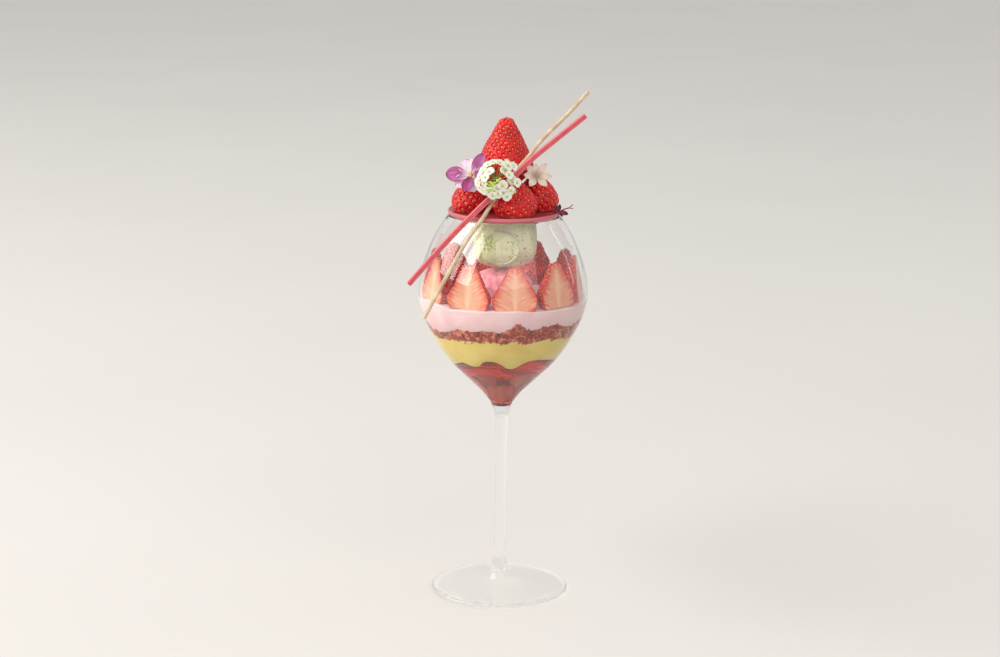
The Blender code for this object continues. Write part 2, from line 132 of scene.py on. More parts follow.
def guide(tree, what):
    """The socket to follow: a socket itself, a number kept on the mesh by name, or a grain's settings."""
    if isinstance(what, str):
        return add(tree, "ShaderNodeAttribute", attribute_name=what).outputs["Fac"]
    return grain(tree, *what) if isinstance(what, tuple) else what


def paint(made, ground, *coats, relief=None):
    """Paint a material and return it. A coat is what it follows, the two values between which it goes
    from its least to its most, its colour, and that least and most (0 and 1). A relief is what it
    follows, its depth in millimetres and its strength."""
    material, tree, shader = made
    colour = linear(ground)
    for what, low, high, over, *shares in coats:
        least, most = shares or (0.0, 1.0)
        share = add(tree, "ShaderNodeMapRange", {0: guide(tree, what), 1: low, 2: high, 3: least, 4: most})
        colour = add(tree, "ShaderNodeMix", {0: share.outputs[0], 6: colour, 7: linear(over)},
                     data_type="RGBA").outputs[2]
    tree.links.new(colour, shader.inputs["Base Color"])
    if relief:
        bumps = add(tree, "ShaderNodeBump", {"Height": guide(tree, relief[0]), "Distance": relief[1] * MM,
                                             "Strength": relief[2]})
        tree.links.new(bumps.outputs[0], shader.inputs["Normal"])
    return material


# %% Floor and light
# Matt card mirrors nothing. Its tint drifts a little over 300 mm, so that it doesn't look computed.
bpy.ops.mesh.primitive_plane_add(size=14, location=(0, 0, -0.0004))
floor = bpy.context.object
floor.name = "floor"
floor.data.materials.append(paint(start_material("matt_pale_card", Roughness=0.75), "#D4D1CD",
                                  ((300,), 0, 1, "#DBD8D4")))

SOFTBOXES = [
    # name, place, width, height, power, colour
    ("key_softbox", (-2.05, -0.5, 1.55), 2.6, 1.9, 60.0, "#FFFAF4"),
    ("back_strip", (2.2, 0.9, 0.9), 0.1, 1.4, 0.9, "#FFFFFF"),
    ("front_fill", (1.2, -3.0, 2.4), 4.0, 3.2, 42.0, "#FFFAF5"),
]
for name, place, width, height, power, colour in SOFTBOXES:
    lamp = bpy.data.lights.new(name, "AREA")
    lamp.shape = "RECTANGLE"
    lamp.size = width
    lamp.size_y = height
    lamp.energy = power
    lamp.color = linear(colour)[:3]
    aim = (Vector((0, 0, 0.19)) - Vector(place)).to_track_quat("-Z", "Y")
    put_in_scene(name, lamp).matrix_world = Matrix.Translation(place) @ aim.to_matrix().to_4x4()
world = bpy.data.worlds.new("studio_air")
bpy.context.scene.world = world
world.use_nodes = True
world.node_tree.nodes["Background"].inputs[0].default_value = linear("#E3E3E2")
world.node_tree.nodes["Background"].inputs[1].default_value = 0.95
print("camera, floor and", len(bpy.data.lights), "lights")

# %% [markdown]
# ## Rings and skins
# A loft is a list of rings of points with a skin over them and a single point at each end. The glass is
# a loft: its rings run from the floor of the bowl up the inside, over the lip, down the outside, the stem
# and the foot. So is a berry, from its cut base to its tip. One helper makes them all.

# %% Helpers for meshes


def make_piece(name, points, faces, *finishes):
    """A smooth-shaded object from points in millimetres."""
    mesh = bpy.data.meshes.new(name)
    mesh.from_pydata((np.asarray(points, float) * MM).tolist(), [], [tuple(face) for face in faces])
    mesh.shade_smooth()
    for finish in finishes:
        mesh.materials.append(finish)
    return put_in_scene(name, mesh)


def loft(name, rings, first, last, *finishes):
    """A closed skin over rings of equally many points, from a first to a last single point."""
    rings = np.asarray(rings, float)
    count, around = rings.shape[:2]
    points = np.vstack([[first], rings.reshape(-1, 3), [last]])
    pairs = [(i, (i + 1) % around) for i in range(around)]
    faces = [(0, 1 + j, 1 + i) for i, j in pairs]
    for low in range(1, 1 + (count - 1) * around, around):
        faces += [(low + i, low + j, low + around + j, low + around + i) for i, j in pairs]
    final = 1 + (count - 1) * around
    faces += [(final + i, final + j, len(points) - 1) for i, j in pairs]
    made = make_piece(name, points, faces, *finishes)
    skin = bmesh.new()
    skin.from_mesh(made.data)
    if skin.calc_volume(signed=True) < 0:
        made.data.flip_normals()
    skin.free()
    return made


def dress(piece, slot, *nodes):
    """Say what a piece rides on and which solids it stands for, and print it. Its slot is not used."""
    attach(piece, "root")
    if nodes:
        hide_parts(*nodes)
    print(piece.name, "faces:", len(piece.data.polygons))


def keep(piece, label, *values):
    """Store a number or a vector for each point, for the material to read."""
    values = np.concatenate([np.ravel(value) for value in values]).astype(np.float32)
    kind, key = ("FLOAT", "value") if len(values) == len(piece.data.vertices) else ("FLOAT_VECTOR", "vector")
    piece.data.attributes.new(label, kind, "POINT").data.foreach_set(key, values)


def smooth_at(points, where):
    """Values on a smooth curve through (position, value) pairs, for a number or an array."""
    xs, ys = np.array(sorted(points), float).T
    slopes = np.gradient(ys, xs)
    slopes[0] = (ys[1] - ys[0]) / (xs[1] - xs[0])
    slopes[-1] = (ys[-1] - ys[-2]) / (xs[-1] - xs[-2])
    where = np.clip(where, xs[0], xs[-1])
    i = np.clip(np.searchsorted(xs, where, "right") - 1, 0, len(xs) - 2)
    span = xs[i + 1] - xs[i]
    t = (where - xs[i]) / span
    return (ys[i] * (2 * t ** 3 - 3 * t ** 2 + 1) + slopes[i] * span * (t ** 3 - 2 * t ** 2 + t)
            + ys[i + 1] * (3 * t ** 2 - 2 * t ** 3) + slopes[i + 1] * span * (t ** 3 - t ** 2))


def lumps(points, size_mm, seed=0.0):
    """Coherent noise from -1 to 1 for each point."""
    points = np.asarray(points, float) / size_mm + seed
    return np.array([noise.noise(Vector(p)) for p in points.reshape(-1, 3)]).reshape(points.shape[:-1])


def turn_round(profile, around):
    """Rings of points from (radius, height) pairs."""
    angles = np.linspace(0, 2 * math.pi, around, endpoint=False)
    return [[(r * math.cos(a), r * math.sin(a), z) for a in angles] for r, z in profile]


def round_glass(azimuth, outward, aside, height):
    """Points at an azimuth from the front, from how far outward, aside and up they are."""
    return np.stack([outward * np.sin(azimuth) + aside * np.cos(azimuth),
                     aside * np.sin(azimuth) - outward * np.cos(azimuth), height], axis=-1)


# %% [markdown]
# ## The glass
# The glass is blown crystal: a balloon bowl 97 mm wide with a wall little over a millimetre, a drawn
# stem and a flat foot. A screw modifier could turn it, but the loft gives the wall's inside and outside
# their own curves. The profile is read off a smooth curve through a few heights and radii, close enough
# that no facet shows in the refractions. Clear glass would throw a black shadow on the sweets inside,
# because the renderer can't aim light through it, so lamps see it as an open film.

# %% Glass
RIM = 222.0
WALL = 1.2
FLOOR_OF_BOWL = 110.2
AROUND = 144
OUTSIDE = [
    # height, outer radius
    (222.0, 31.7), (210.0, 39.2), (200.0, 43.7), (188.0, 47.5), (176.0, 48.5), (166.0, 46.6),
    (156.0, 42.3), (146.0, 36.6), (136.0, 29.0), (126.0, 18.8), (118.0, 10.8), (112.0, 6.3),
    (106.0, 4.2), (96.0, 3.7), (70.0, 3.05), (40.0, 3.1), (20.0, 3.7), (10.0, 5.2),
]
FOOT = [
    # radius, height: out over the top of the foot, round its edge, back under it
    (6.9, 6.6), (7.9, 5.9), (9.6, 5.2), (12.0, 4.5), (16.0, 3.7), (22.0, 2.9), (30.0, 2.3), (36.0, 1.95),
    (38.6, 1.8), (39.5, 1.65), (39.93, 1.3), (40.0, 0.9), (39.9, 0.45), (39.55, 0.1), (39.1, 0.0),
    (38.4, 0.0), (36.0, 0.0), (28.0, 0.0), (18.0, 0.0), (8.0, 0.0), (3.0, 0.0),
]
FILLED_TO = 173.0
FLAT_UNDER_FOOT = 36.0


def outside(height):
    """Outer radius at a height."""
    return smooth_at(OUTSIDE, height)


def inside(height):
    """Inner radius, with the wall measured square to its slope."""
    slope = outside(height + 0.5) - outside(height - 0.5)
    return np.maximum(outside(height) - WALL * np.sqrt(1 + slope * slope), 0.0)


rising = np.arange(112.5, RIM - 0.5, 1.5)
profile = [(1.6, FLOOR_OF_BOWL + 0.15), (3.0, FLOOR_OF_BOWL + 0.8), (4.0, FLOOR_OF_BOWL + 1.6)]
profile += [(float(inside(z)), z) for z in rising]
wetted_rings = sum(height < FILLED_TO for radius, height in profile)
lip = float(outside(RIM))
profile += [(lip - WALL + 0.02, RIM - 0.6), (lip - WALL * 0.8, RIM - 0.15), (lip - WALL / 2, RIM),
            (lip - WALL * 0.2, RIM - 0.15), (lip - 0.02, RIM - 0.6)]
profile += [(float(outside(z)), z) for z in [*rising[::-1], *np.arange(110.0, 9.0, -2.0)]] + FOOT
resting_rings = sum(height == 0 and radius <= FLAT_UNDER_FOOT for radius, height in profile)


def clear(name, film, **values):
    """A clear finish that lamps see as an open film of a colour."""
    material, tree, shader = start_material(name, **values)
    open_film = add(tree, "ShaderNodeBsdfTransparent", {"Color": linear(film)})
    for_lamps = add(tree, "ShaderNodeLightPath").outputs["Is Shadow Ray"]
    mixed = add(tree, "ShaderNodeMixShader", {0: for_lamps, 1: shader.outputs[0], 2: open_film.outputs[0]})
    tree.links.new(mixed.outputs[0], tree.nodes["Material Output"].inputs["Surface"])
    return material, tree, shader


# Crystal bends light at IOR 1.5 and is as smooth as liquid, so it shows only as reflections and bent
# edges. Where cream or jelly lies against its inner face, no air is left to mirror light, so that face
# has no shine. Under the foot, light would be caught between the two faces and the foot would turn
# black, so the flat underside lets it straight through to the table.
CRYSTAL = {"Base_Color": "#FFFFFF", "Roughness": 0.0, "Transmission_Weight": 1.0}
glass_material, tree, shader = clear("blown_crystal", "#F6F8F8", IOR=1.5, **CRYSTAL)
wetted_material = clear("crystal_against_food", "#F6F8F8", IOR=1.5, Specular_IOR_Level=0.0, **CRYSTAL)[0]
resting_material = clear("crystal_on_the_table", "#D2D6D7", IOR=1.0, Specular_IOR_Level=0.0, **CRYSTAL)[0]

# Low on the bowl, about 128 mm up, the outer face looks down and would mirror the pale floor over the
# dark jelly. A photographer shades such a place with black card; here the shine is turned down there.
place = add(tree, "ShaderNodeTexCoord").outputs["Object"]
above = add(tree, "ShaderNodeSeparateXYZ", {0: place}).outputs["Z"]
from_glare = add(tree, "ShaderNodeMath", {0: above, 1: 128 * MM}, operation="SUBTRACT").outputs[0]
away = add(tree, "ShaderNodeMath", {0: from_glare}, operation="ABSOLUTE").outputs[0]
shine = add(tree, "ShaderNodeMapRange", {0: away, 1: 16 * MM, 2: 36 * MM, 3: 0.15, 4: 0.5}).outputs[0]
tree.links.new(shine, shader.inputs["Specular IOR Level"])

glass = loft("blown_glass", turn_round(profile, AROUND), (0, 0, FLOOR_OF_BOWL), (0, 0, 0),
             glass_material, wetted_material, resting_material)
finish_of_face = np.zeros(len(glass.data.polygons), np.int32)
finish_of_face[:AROUND * wetted_rings] = 1
finish_of_face[-AROUND * resting_rings:] = 2
glass.data.polygons.foreach_set("material_index", finish_of_face)
dress(glass, "glass", "glass")
print("glass:", len(profile), "rings of", AROUND, "-", wetted_rings, "of them against the food")

# %% [markdown]
# ## The four layers
# Jelly, yellow cream, crumble and pink cream lie on each other like strata. Each is a loft between two
# wavy boundaries, and its side reaches a quarter of a millimetre into the glass, so that no air shows
# between them. Each boundary is a list of crests and troughs round the glass. Where the front doesn't
# say, the back goes on with waves of the same size from a seeded draw.

# %% Boundaries of the layers
dice = random.Random(11)


def finish_round(middle, swing, step, *crests):
    """Crests at the front, as azimuth and height, and drawn ones of the same size for the back."""
    start, end = crests[-1][0], crests[0][0] + 360
    count = int((end - start) / step)
    drawn = [(start + (end - start) * (i + 1) / (count + 1), middle + dice.uniform(-swing, swing))
             for i in range(count)]
    azimuths = np.arange(0, 360, 0.5)
    keys = np.array([*crests, *drawn])
    line = np.interp(azimuths, keys[:, 0] % 360, keys[:, 1], period=360)
    rounding = np.hanning(17) / np.hanning(17).sum()
    line = np.convolve(np.r_[line[-8:], line, line[:8]], rounding, "same")[8:-8]
    return lambda azimuth: np.interp(azimuth % 360, azimuths, line, period=360)


jelly_top = finish_round(
    141.0, 2.2, 17, (-72, 136.5), (-53, 139.4), (-43, 141.0), (-36, 139.4), (-28, 139.1), (-23, 139.9),
    (-20, 142.8), (-14, 143.8), (-7, 143.7), (-1, 141.8), (4, 139.4), (10, 138.7), (15, 139.7),
    (20, 142.0), (26, 143.6), (34, 144.1), (54, 142.4))
yellow_top = finish_round(
    156.2, 1.3, 9, (-67, 155.2), (-57, 154.2), (-42, 156.2), (-32, 156.4), (-19, 156.1), (-12, 157.5),
    (-5, 156.8), (2, 155.1), (9, 158.3), (16, 155.8), (22, 157.0), (29, 156.4), (36, 157.7), (51, 156.4),
    (74, 155.2))
crumble_top = finish_round(
    163.0, 2.0, 9, (-66, 159.0), (-52, 158.6), (-38, 161.3), (-34, 163.0), (-26, 161.7), (-15, 163.4),
    (-7, 163.1), (0, 162.1), (6, 165.3), (12, 167.6), (15, 167.2), (18, 163.2), (23, 164.3), (33, 164.4),
    (37, 166.5), (47, 164.3), (61, 162.4))
pink_top = finish_round(
    174.8, 0.8, 15, (-65, 176.0), (-55, 176.0), (-47, 175.7), (-44, 173.9), (-40, 173.4), (-36, 173.6),
    (-22, 174.8), (-11, 174.8), (-7, 175.7), (-2, 175.2), (13, 175.1), (24, 174.2), (31, 174.6),
    (44, 173.6), (51, 174.0), (66, 173.2))

# %% A layer as a loft
INTO_WALL = 0.25
ROUND = np.arange(0, 360, 1.5)
UNDER_RINGS, SIDE_RINGS, TOP_RINGS = 8, 30, 22
SIDE_START, SIDE_END = UNDER_RINGS, UNDER_RINGS + SIDE_RINGS


def layer(name, low, high, middle_low, middle_high, finish, relief=0.0, relief_size=3.0, crevice=0.0,
          brim=3):
    """A layer from one boundary to another, with its own heights in the middle. A larger brim makes it
    reach the middle's height sooner. Crevices are how far the side shrinks from the wall in places."""
    bottom = low(ROUND) if low else np.full(len(ROUND), FLOOR_OF_BOWL + 0.5)
    top = high(ROUND)
    angle = np.radians(ROUND)
    rings = []

    def lay(level, share=1.0, middle=0.0):
        """A ring at a share of the way from the axis to the wall."""
        room = inside(np.clip(level, 111.6, RIM))
        radius = (np.maximum(room, 0 if low else 3.0) + INTO_WALL) * share
        fade = share ** brim
        height = level * fade + middle * (1 - fade)
        rings.append(round_glass(angle, radius, 0, height))

    for share in np.linspace(0.12, 0.94, UNDER_RINGS):
        lay(bottom, share, middle_low)
    for rise in np.linspace(0, 1, SIDE_RINGS):
        lay(bottom + (top - bottom) * rise)
    for share in np.linspace(0.985, 0.06, TOP_RINGS):
        lay(top, share, middle_high)
    rings = np.array(rings)
    if relief:
        rough = lumps(rings, relief_size, 3.7) + 0.6 * lumps(rings, relief_size / 2.6, 9.1)
        rings[UNDER_RINGS + 1:, :, 2] += relief * rough[UNDER_RINGS + 1:]
    if crevice:
        gaps = crevice * np.clip(0.15 + 1.5 * lumps(rings, 2.1, 5.3), 0, 1)
        shrink = 1 - gaps / np.hypot(rings[:, :, 0], rings[:, :, 1])
        rings[SIDE_START:SIDE_END, :, :2] *= shrink[SIDE_START:SIDE_END, :, None]
    return loft(name, rings, (0, 0, middle_low), (0, 0, middle_high), finish)


# %% [markdown]
# Jelly is gelatine set with strawberry juice: clear, deep red and shiny, with an IOR near water's. Its
# colour comes from its depth, so the shader lets light in and the volume drinks the green and the blue.
# Creams scatter light inside, which softens their shading, so they get a few millimetres of subsurface.

# %% Jelly and creams
jelly_material, tree, shader = clear("strawberry_jelly", "#FCE0DA", Base_Color="#FAB4AA", Roughness=0.03,
                                     IOR=1.36, Transmission_Weight=0.93, Specular_IOR_Level=0.0)
depth = add(tree, "ShaderNodeVolumeAbsorption", {"Color": linear("#F8283A"), "Density": 80.0})
tree.links.new(depth.outputs[0], tree.nodes["Material Output"].inputs["Volume"])
JELLY_MIDDLE, YELLOW_MIDDLE, CRUMBLE_MIDDLE, PINK_MIDDLE = 141.0, 156.4, 163.0, 175.4
jelly = layer("clear_jelly", None, jelly_top, FLOOR_OF_BOWL + 0.3, JELLY_MIDDLE, jelly_material)
dress(jelly, "jelly", "jelly")


def soft(name, roughness, weight, scale_mm, spread=(1.0, 0.55, 0.45), **values):
    """A finish that light enters and spreads through for about scale_mm."""
    return start_material(name, Roughness=roughness, Subsurface_Weight=weight,
                          Subsurface_Scale=scale_mm * MM, Subsurface_Radius=spread, **values)


def cream(name, pale, deep):
    """Whipped cream: matt to satin, a little uneven in tint."""
    return paint(soft(name, 0.42, 0.25, 3), deep, ((14, 3.0), 0.35, 0.65, pale),
                 relief=((1.6, 3.0), 0.12, 0.35))


yellow = layer("yellow_mousse", jelly_top, yellow_top, JELLY_MIDDLE, YELLOW_MIDDLE,
               cream("yellow_fruit_mousse", "#F2DF88", "#EAD274"), 0.3)
dress(yellow, "yellow_cream", "yellow_cream")
pink = layer("berry_cream", crumble_top, pink_top, CRUMBLE_MIDDLE, PINK_MIDDLE,
             cream("whipped_berry_cream", "#F0D6D6", "#E8C6C8"), 0.3, brim=12)
dress(pink, "pink_cream", "pink_cream")

# %% [markdown]
# ## Geometry Nodes that strew and set
# Two small node trees do all the repeated work. The first strews crumbs at random over the faces of a
# piece, turned and sized at random from a seed. The second sets a shape on marked points, upright along
# a stored normal with its long side along a stored direction: strawberry seeds and small flowers.
# Both realize their instances, and the result is kept as a plain mesh.

# %% Build the two trees


def new_tree(name, **sockets):
    """An empty tree with its named inputs, and those inputs."""
    tree = bpy.data.node_groups.new(name, "GeometryNodeTree")
    kinds = {"Geometry": "Geometry", **sockets, "Shape": "Object", "Material": "Material"}
    for label, kind in kinds.items():
        tree.interface.new_socket(name=label.replace("_", " "), in_out="INPUT",
                                  socket_type="NodeSocket" + kind)
    tree.interface.new_socket(name="Geometry", in_out="OUTPUT", socket_type="NodeSocketGeometry")
    return tree, add(tree, "NodeGroupInput").outputs


def end_tree(tree, given, points, rotation, sizes):
    """Set the given shape on points, realize it and give it its material."""
    shape = add(tree, "GeometryNodeObjectInfo", {"Object": given["Shape"]})
    set_down = add(tree, "GeometryNodeInstanceOnPoints", {
        "Points": points, "Instance": shape.outputs["Geometry"], "Rotation": rotation, "Scale": sizes})
    real = add(tree, "GeometryNodeRealizeInstances", {0: set_down.outputs[0]})
    painted = add(tree, "GeometryNodeSetMaterial", {"Geometry": real.outputs[0],
                                                    "Material": given["Material"]})
    add(tree, "NodeGroupOutput", {0: painted.outputs[0]})


strew, given = new_tree("Strew on faces", Density="Float", Least_size="Float", Most_size="Float", Seed="Int")
wanted = add(strew, "GeometryNodeInputNamedAttribute", {"Name": "cover"}, data_type="FLOAT")
spots = add(strew, "GeometryNodeDistributePointsOnFaces", {
    "Mesh": given["Geometry"], "Density": given["Density"], "Seed": given["Seed"],
    "Selection": add(strew, "FunctionNodeCompare", {0: wanted.outputs[0], 1: 0.5}).outputs[0]})
tumble = add(strew, "FunctionNodeRandomValue", {0: (0, 0, 0), 1: (6.28, 6.28, 6.28), "Seed": given["Seed"]},
             data_type="FLOAT_VECTOR")
turned = add(strew, "FunctionNodeEulerToRotation", {0: tumble.outputs[0]})
sizes = add(strew, "FunctionNodeRandomValue", {2: given["Least size"], 3: given["Most size"], "Seed": 5})
end_tree(strew, given, spots.outputs[0], turned.outputs[0], sizes.outputs[1])

stand, given = new_tree("Set on points", Scale="Float", Vary="Float", Seed="Int")
upward = add(stand, "GeometryNodeInputNamedAttribute", {"Name": "up"}, data_type="FLOAT_VECTOR")
forward = add(stand, "GeometryNodeInputNamedAttribute", {"Name": "ahead"}, data_type="FLOAT_VECTOR")
upright = add(stand, "FunctionNodeAlignRotationToVector", {"Vector": upward.outputs[0]}, axis="Z")
turned = add(stand, "FunctionNodeAlignRotationToVector", {
    "Rotation": upright.outputs[0], "Vector": forward.outputs[0]}, axis="X", pivot_axis="Z")
least, most = [add(stand, "ShaderNodeMath", {0: given["Scale"], 1: given["Vary"]}, operation=way).outputs[0]
               for way in ("SUBTRACT", "ADD")]
sizes = add(stand, "FunctionNodeRandomValue", {2: least, 3: most, "Seed": given["Seed"]})
dots = add(stand, "GeometryNodeMeshToPoints", {"Mesh": given["Geometry"]})
end_tree(stand, given, dots.outputs[0], turned.outputs[0], sizes.outputs[1])


def as_plain_mesh(piece):
    """The mesh that a piece's modifiers make."""
    bpy.context.view_layer.update()
    return bpy.data.meshes.new_from_object(piece.evaluated_get(bpy.context.evaluated_depsgraph_get()))


def grow(name, base, tree, **values):
    """Run a tree on an object and keep what it grows as a plain mesh in an object of its own."""
    modifier = base.modifiers.new("Grow", "NODES")
    modifier.node_group = tree
    names = {item.name: item.identifier for item in tree.interface.items_tree if item.in_out == "INPUT"}
    for label, value in values.items():
        modifier[names[label.replace("_", " ")]] = value
    mesh = as_plain_mesh(base)
    base.modifiers.remove(modifier)
    mesh.shade_smooth()
    return put_in_scene(name, mesh)


def pebble(name, rough, stretch, detail=2, seed=0.0):
    """A small lumpy ball to strew, a millimetre in radius before it is stretched."""
    bpy.ops.mesh.primitive_ico_sphere_add(subdivisions=detail, radius=1.0)
    made = bpy.context.object
    made.name = name
    for vert in made.data.vertices:
        swell = 1 + rough * noise.noise(vert.co * 1.4 + Vector((seed, seed, seed)))
        vert.co = Vector([vert.co[i] * stretch[i] * swell * MM for i in range(3)])
    return made


# %% [markdown]
# ## Crumble
# Crushed red biscuit packed between two creams. It is too fine to model crumb by crumb all through, so
# a rough core, which shrinks from the wall in places and is painted dark as the shade between crumbs,
# carries the depth, and real crumbs of three sizes sit in its side: big ones, small ones between them,
# and a few that fell on the yellow cream.
# Those that would poke through the glass are pulled back to a few tenths of a millimetre inside its
# wall, so they look pressed against it.

# %% Crumble


def biscuit(name, dark, baked, pale):
    """Crushed biscuit: matt, mottled from crumb to crumb."""
    return paint(start_material(name, Roughness=0.8), dark, ((1.2, 5.0, 0.7), 0.36, 0.62, baked),
                 ((2.8, 2.0), 0.5, 0.64, pale), relief=((0.6, 5.0, 0.7), 0.25, 0.8))


# The core is biscuit painted in very dark tones, as painted shade for the gaps between crumbs.
core_shade_material = biscuit("biscuit_core_painted_shade", "#300C08", "#641E16", "#7A2A20")
crumb_material = biscuit("crushed_red_biscuit", "#8E2E22", "#C86048", "#E89C80")
crumble = layer("crumble_core", yellow_top, crumble_top, YELLOW_MIDDLE, CRUMBLE_MIDDLE, core_shade_material, 0.5,
                2.4, crevice=1.9)


def cover_rings(piece, first, last):
    """Mark the points of a layer's rings from first to before last as the ones to strew on."""
    count = UNDER_RINGS + SIDE_RINGS + TOP_RINGS
    place = np.r_[-1, np.repeat(np.arange(count), len(ROUND)), count]
    keep(piece, "cover", (place >= first) & (place < last))


def press_to_wall(piece, into):
    """Pull every point that reaches further into the glass's wall than this back to that depth."""
    spots = np.empty(len(piece.data.vertices) * 3)
    piece.data.vertices.foreach_get("co", spots)
    spots = spots.reshape(-1, 3) / MM
    flat = np.hypot(spots[:, 0], spots[:, 1])
    spots[:, :2] *= np.minimum(1.0, (inside(spots[:, 2]) + into) / np.maximum(flat, 0.1))[:, None]
    piece.data.vertices.foreach_set("co", (spots * MM).ravel())
    piece.data.shade_flat()


cover_rings(crumble, SIDE_START, SIDE_END)
cover_rings(yellow, SIDE_END - 3, SIDE_END)
crumb_shape = pebble("crumb_shape", 1.3, (1.0, 0.75, 0.6))
CRUMBS = [
    # name, what they lie on, how many to a square metre, least and most size, seed, how far into the wall
    ("big_crumbs", crumble, 300000.0, 0.9, 1.9, 4, 0.35),
    ("small_crumbs", crumble, 700000.0, 0.3, 0.9, 9, 0.4),
    ("fallen_crumbs", yellow, 90000.0, 0.2, 0.7, 6, 0.45),
]
for name, bed, density, least_size, most_size, seed, into in CRUMBS:
    crumbs = grow(name, bed, strew, Density=density, Least_size=least_size, Most_size=most_size, Seed=seed,
                  Shape=crumb_shape, Material=crumb_material)
    press_to_wall(crumbs, into)
    dress(crumbs, "crumble")
dress(crumble, "crumble", "crumble")

# %% [markdown]
# ## Strawberries
# A strawberry is a swollen flower base with the true fruits, the seeds, sunk in dimples on its skin.
# The dimples follow the spiral that plants grow by: each seed stands one golden angle further round
# than the last. The skin is a fine loft pushed in round each seed and slightly raised between, which
# gives the many small rings of light. A material bump alone would leave the outline smooth.

# %% Seeds and skin
GOLDEN = math.pi * (3 - math.sqrt(5))
DIMPLE_DEPTH = 0.66
DIMPLE_WIDTH = 0.95
COLLAR_REACH = 1.6
COLLAR_WIDTH = 0.38
COLLAR_LIFT = 0.24
SKIN_GRAIN = 0.36
# Outlines of berries: how far up, and how wide there.
DOME = [(0.0, 0.80), (0.12, 0.93), (0.3, 1.0), (0.55, 0.86), (0.78, 0.58), (0.93, 0.28), (1.0, 0.0)]
HEART = [(0.0, 0.86), (0.1, 0.96), (0.22, 1.0), (0.46, 0.8), (0.7, 0.53), (0.88, 0.36), (0.96, 0.24),
         (1.0, 0.0)]
SPIRE = [(0.0, 0.5), (0.12, 0.8), (0.28, 0.98), (0.43, 0.87), (0.56, 0.74), (0.7, 0.575), (0.83, 0.41),
         (0.91, 0.3), (0.97, 0.18), (1.0, 0.0)]


def seed_spots(shape, width, height, spacing, spin):
    """Seeds spaced evenly over a berry's skin, as rise from the base (0 to 1) and angle."""
    rise = np.linspace(0.02, 0.995, 400)
    radius = width / 2 * smooth_at(shape, rise)
    steps = np.hypot(np.gradient(radius), np.gradient(rise * height))
    area = np.cumsum(2 * math.pi * radius * steps / (spacing * (1 - 0.3 * rise)) ** 2)
    count = int(area[-1] * 1.1)
    index = np.arange(count) + 0.5
    along = np.interp(index / count * area[-1], area, rise) + 0.007 * np.sin(7.3 * index)
    return np.clip(along, 0.02, 0.99), (index * GOLDEN + spin + 0.05 * np.sin(5.1 * index)) % (2 * math.pi)


def dimpled(points, seeds):
    """Push a grid of points in at each seed, with a raised collar round it. Returns points, dimples and
    collars."""
    normal = np.cross(np.roll(points, -1, axis=1) - np.roll(points, 1, axis=1), np.gradient(points, axis=0))
    normal /= np.maximum(np.linalg.norm(normal, axis=2, keepdims=True), 1e-9)
    tree = kdtree.KDTree(len(seeds))
    for i, seed in enumerate(seeds):
        tree.insert(Vector(seed), i)
    tree.balance()
    away = np.array([tree.find(Vector(p))[2] for p in points.reshape(-1, 3)]).reshape(points.shape[:-1])
    pit = np.exp(-(away / DIMPLE_WIDTH) ** 2)
    collar = np.exp(-((away - COLLAR_REACH) / COLLAR_WIDTH) ** 2)
    return points + normal * (COLLAR_LIFT * collar - DIMPLE_DEPTH * pit)[..., None], pit, collar


# Ripe skin is thin, wet and waxy: bright red over pale flesh, and pale at the shoulder where the green
# cap sat. The collars get a painted highlight in pink, and the dimples get painted shade in dark red.
skin_material = paint(
    soft("ripe_strawberry_skin", 0.2, 0.1, 1.5, (1.0, 0.2, 0.1), IOR=1.36, Coat_Weight=0.2,
         Coat_Roughness=0.08, Specular_IOR_Level=0.4),
    "#B00307", ((7, 3.0), 0.35, 0.65, "#D2080C"), ("collar", 0.3, 1.0, "#DE3038", 0.0, 0.35),
    ("pit", 0.3, 1.0, "#92060C", 0.0, 0.8), ("rise", 0.0, 0.14, "#E47E78", 0.4, 0.0),
    relief=((0.5, 3.0), 0.06, 0.4))

# A ripe seed is dry and golden, lighter than the skin, so it shows as a dot and not as a highlight.
seed_material = paint(start_material("strawberry_seed", Roughness=0.4), "#D08A3C", ((5,), 0, 1, "#F2C674"))
seed_shape = pebble("seed_shape", 0.0, (0.56, 0.34, 0.22))
seed_marks = {"whole": [], "halves": []}


def mark_seeds(kind, spots, tips, middle):
    """Mark seeds that stand away from a berry's middle with their long side towards their tips."""
    for spot, tip in zip(spots, tips):
        ahead = tip - spot
        out = spot - middle
        out -= ahead * (out @ ahead) / max(ahead @ ahead, 1e-9)
        out /= np.linalg.norm(out)
        seed_marks[kind].append((spot - out * (DIMPLE_DEPTH - 0.06), out, ahead))


# %% [markdown]
# Five whole berries make a pyramid on the disc. Four stand on their cut bases with their tips leaning
# together, and the tallest stands on those four.

# %% Whole berries
BERRIES = [
    # name, place, width, height, outline, how far the tip leans to the axis, spacing of the seeds
    ("berry_left", (-19.0, -2.4, 224.35), 23.6, 19.8, DOME, 2.6, 4.0),
    ("berry_front", (6.2, -17.4, 224.35), 25.4, 20.0, DOME, 2.6, 4.1),
    ("berry_right", (20.2, 5.0, 224.35), 23.2, 20.4, DOME, 2.6, 4.0),
    ("berry_back", (-3.4, 19.4, 224.35), 24.2, 20.2, DOME, 2.6, 4.1),
    ("berry_top", (0.0, 0.0, 240.0), 32.0, 37.6, SPIRE, -0.8, 4.0),
]


def berry_skin(width, height, shape, rise, angle):
    """A point on a berry before it leans, from its rise and angle."""
    radius = width / 2 * smooth_at(shape, rise)
    return np.stack([radius * np.cos(angle), radius * np.sin(angle), rise * height], axis=-1)


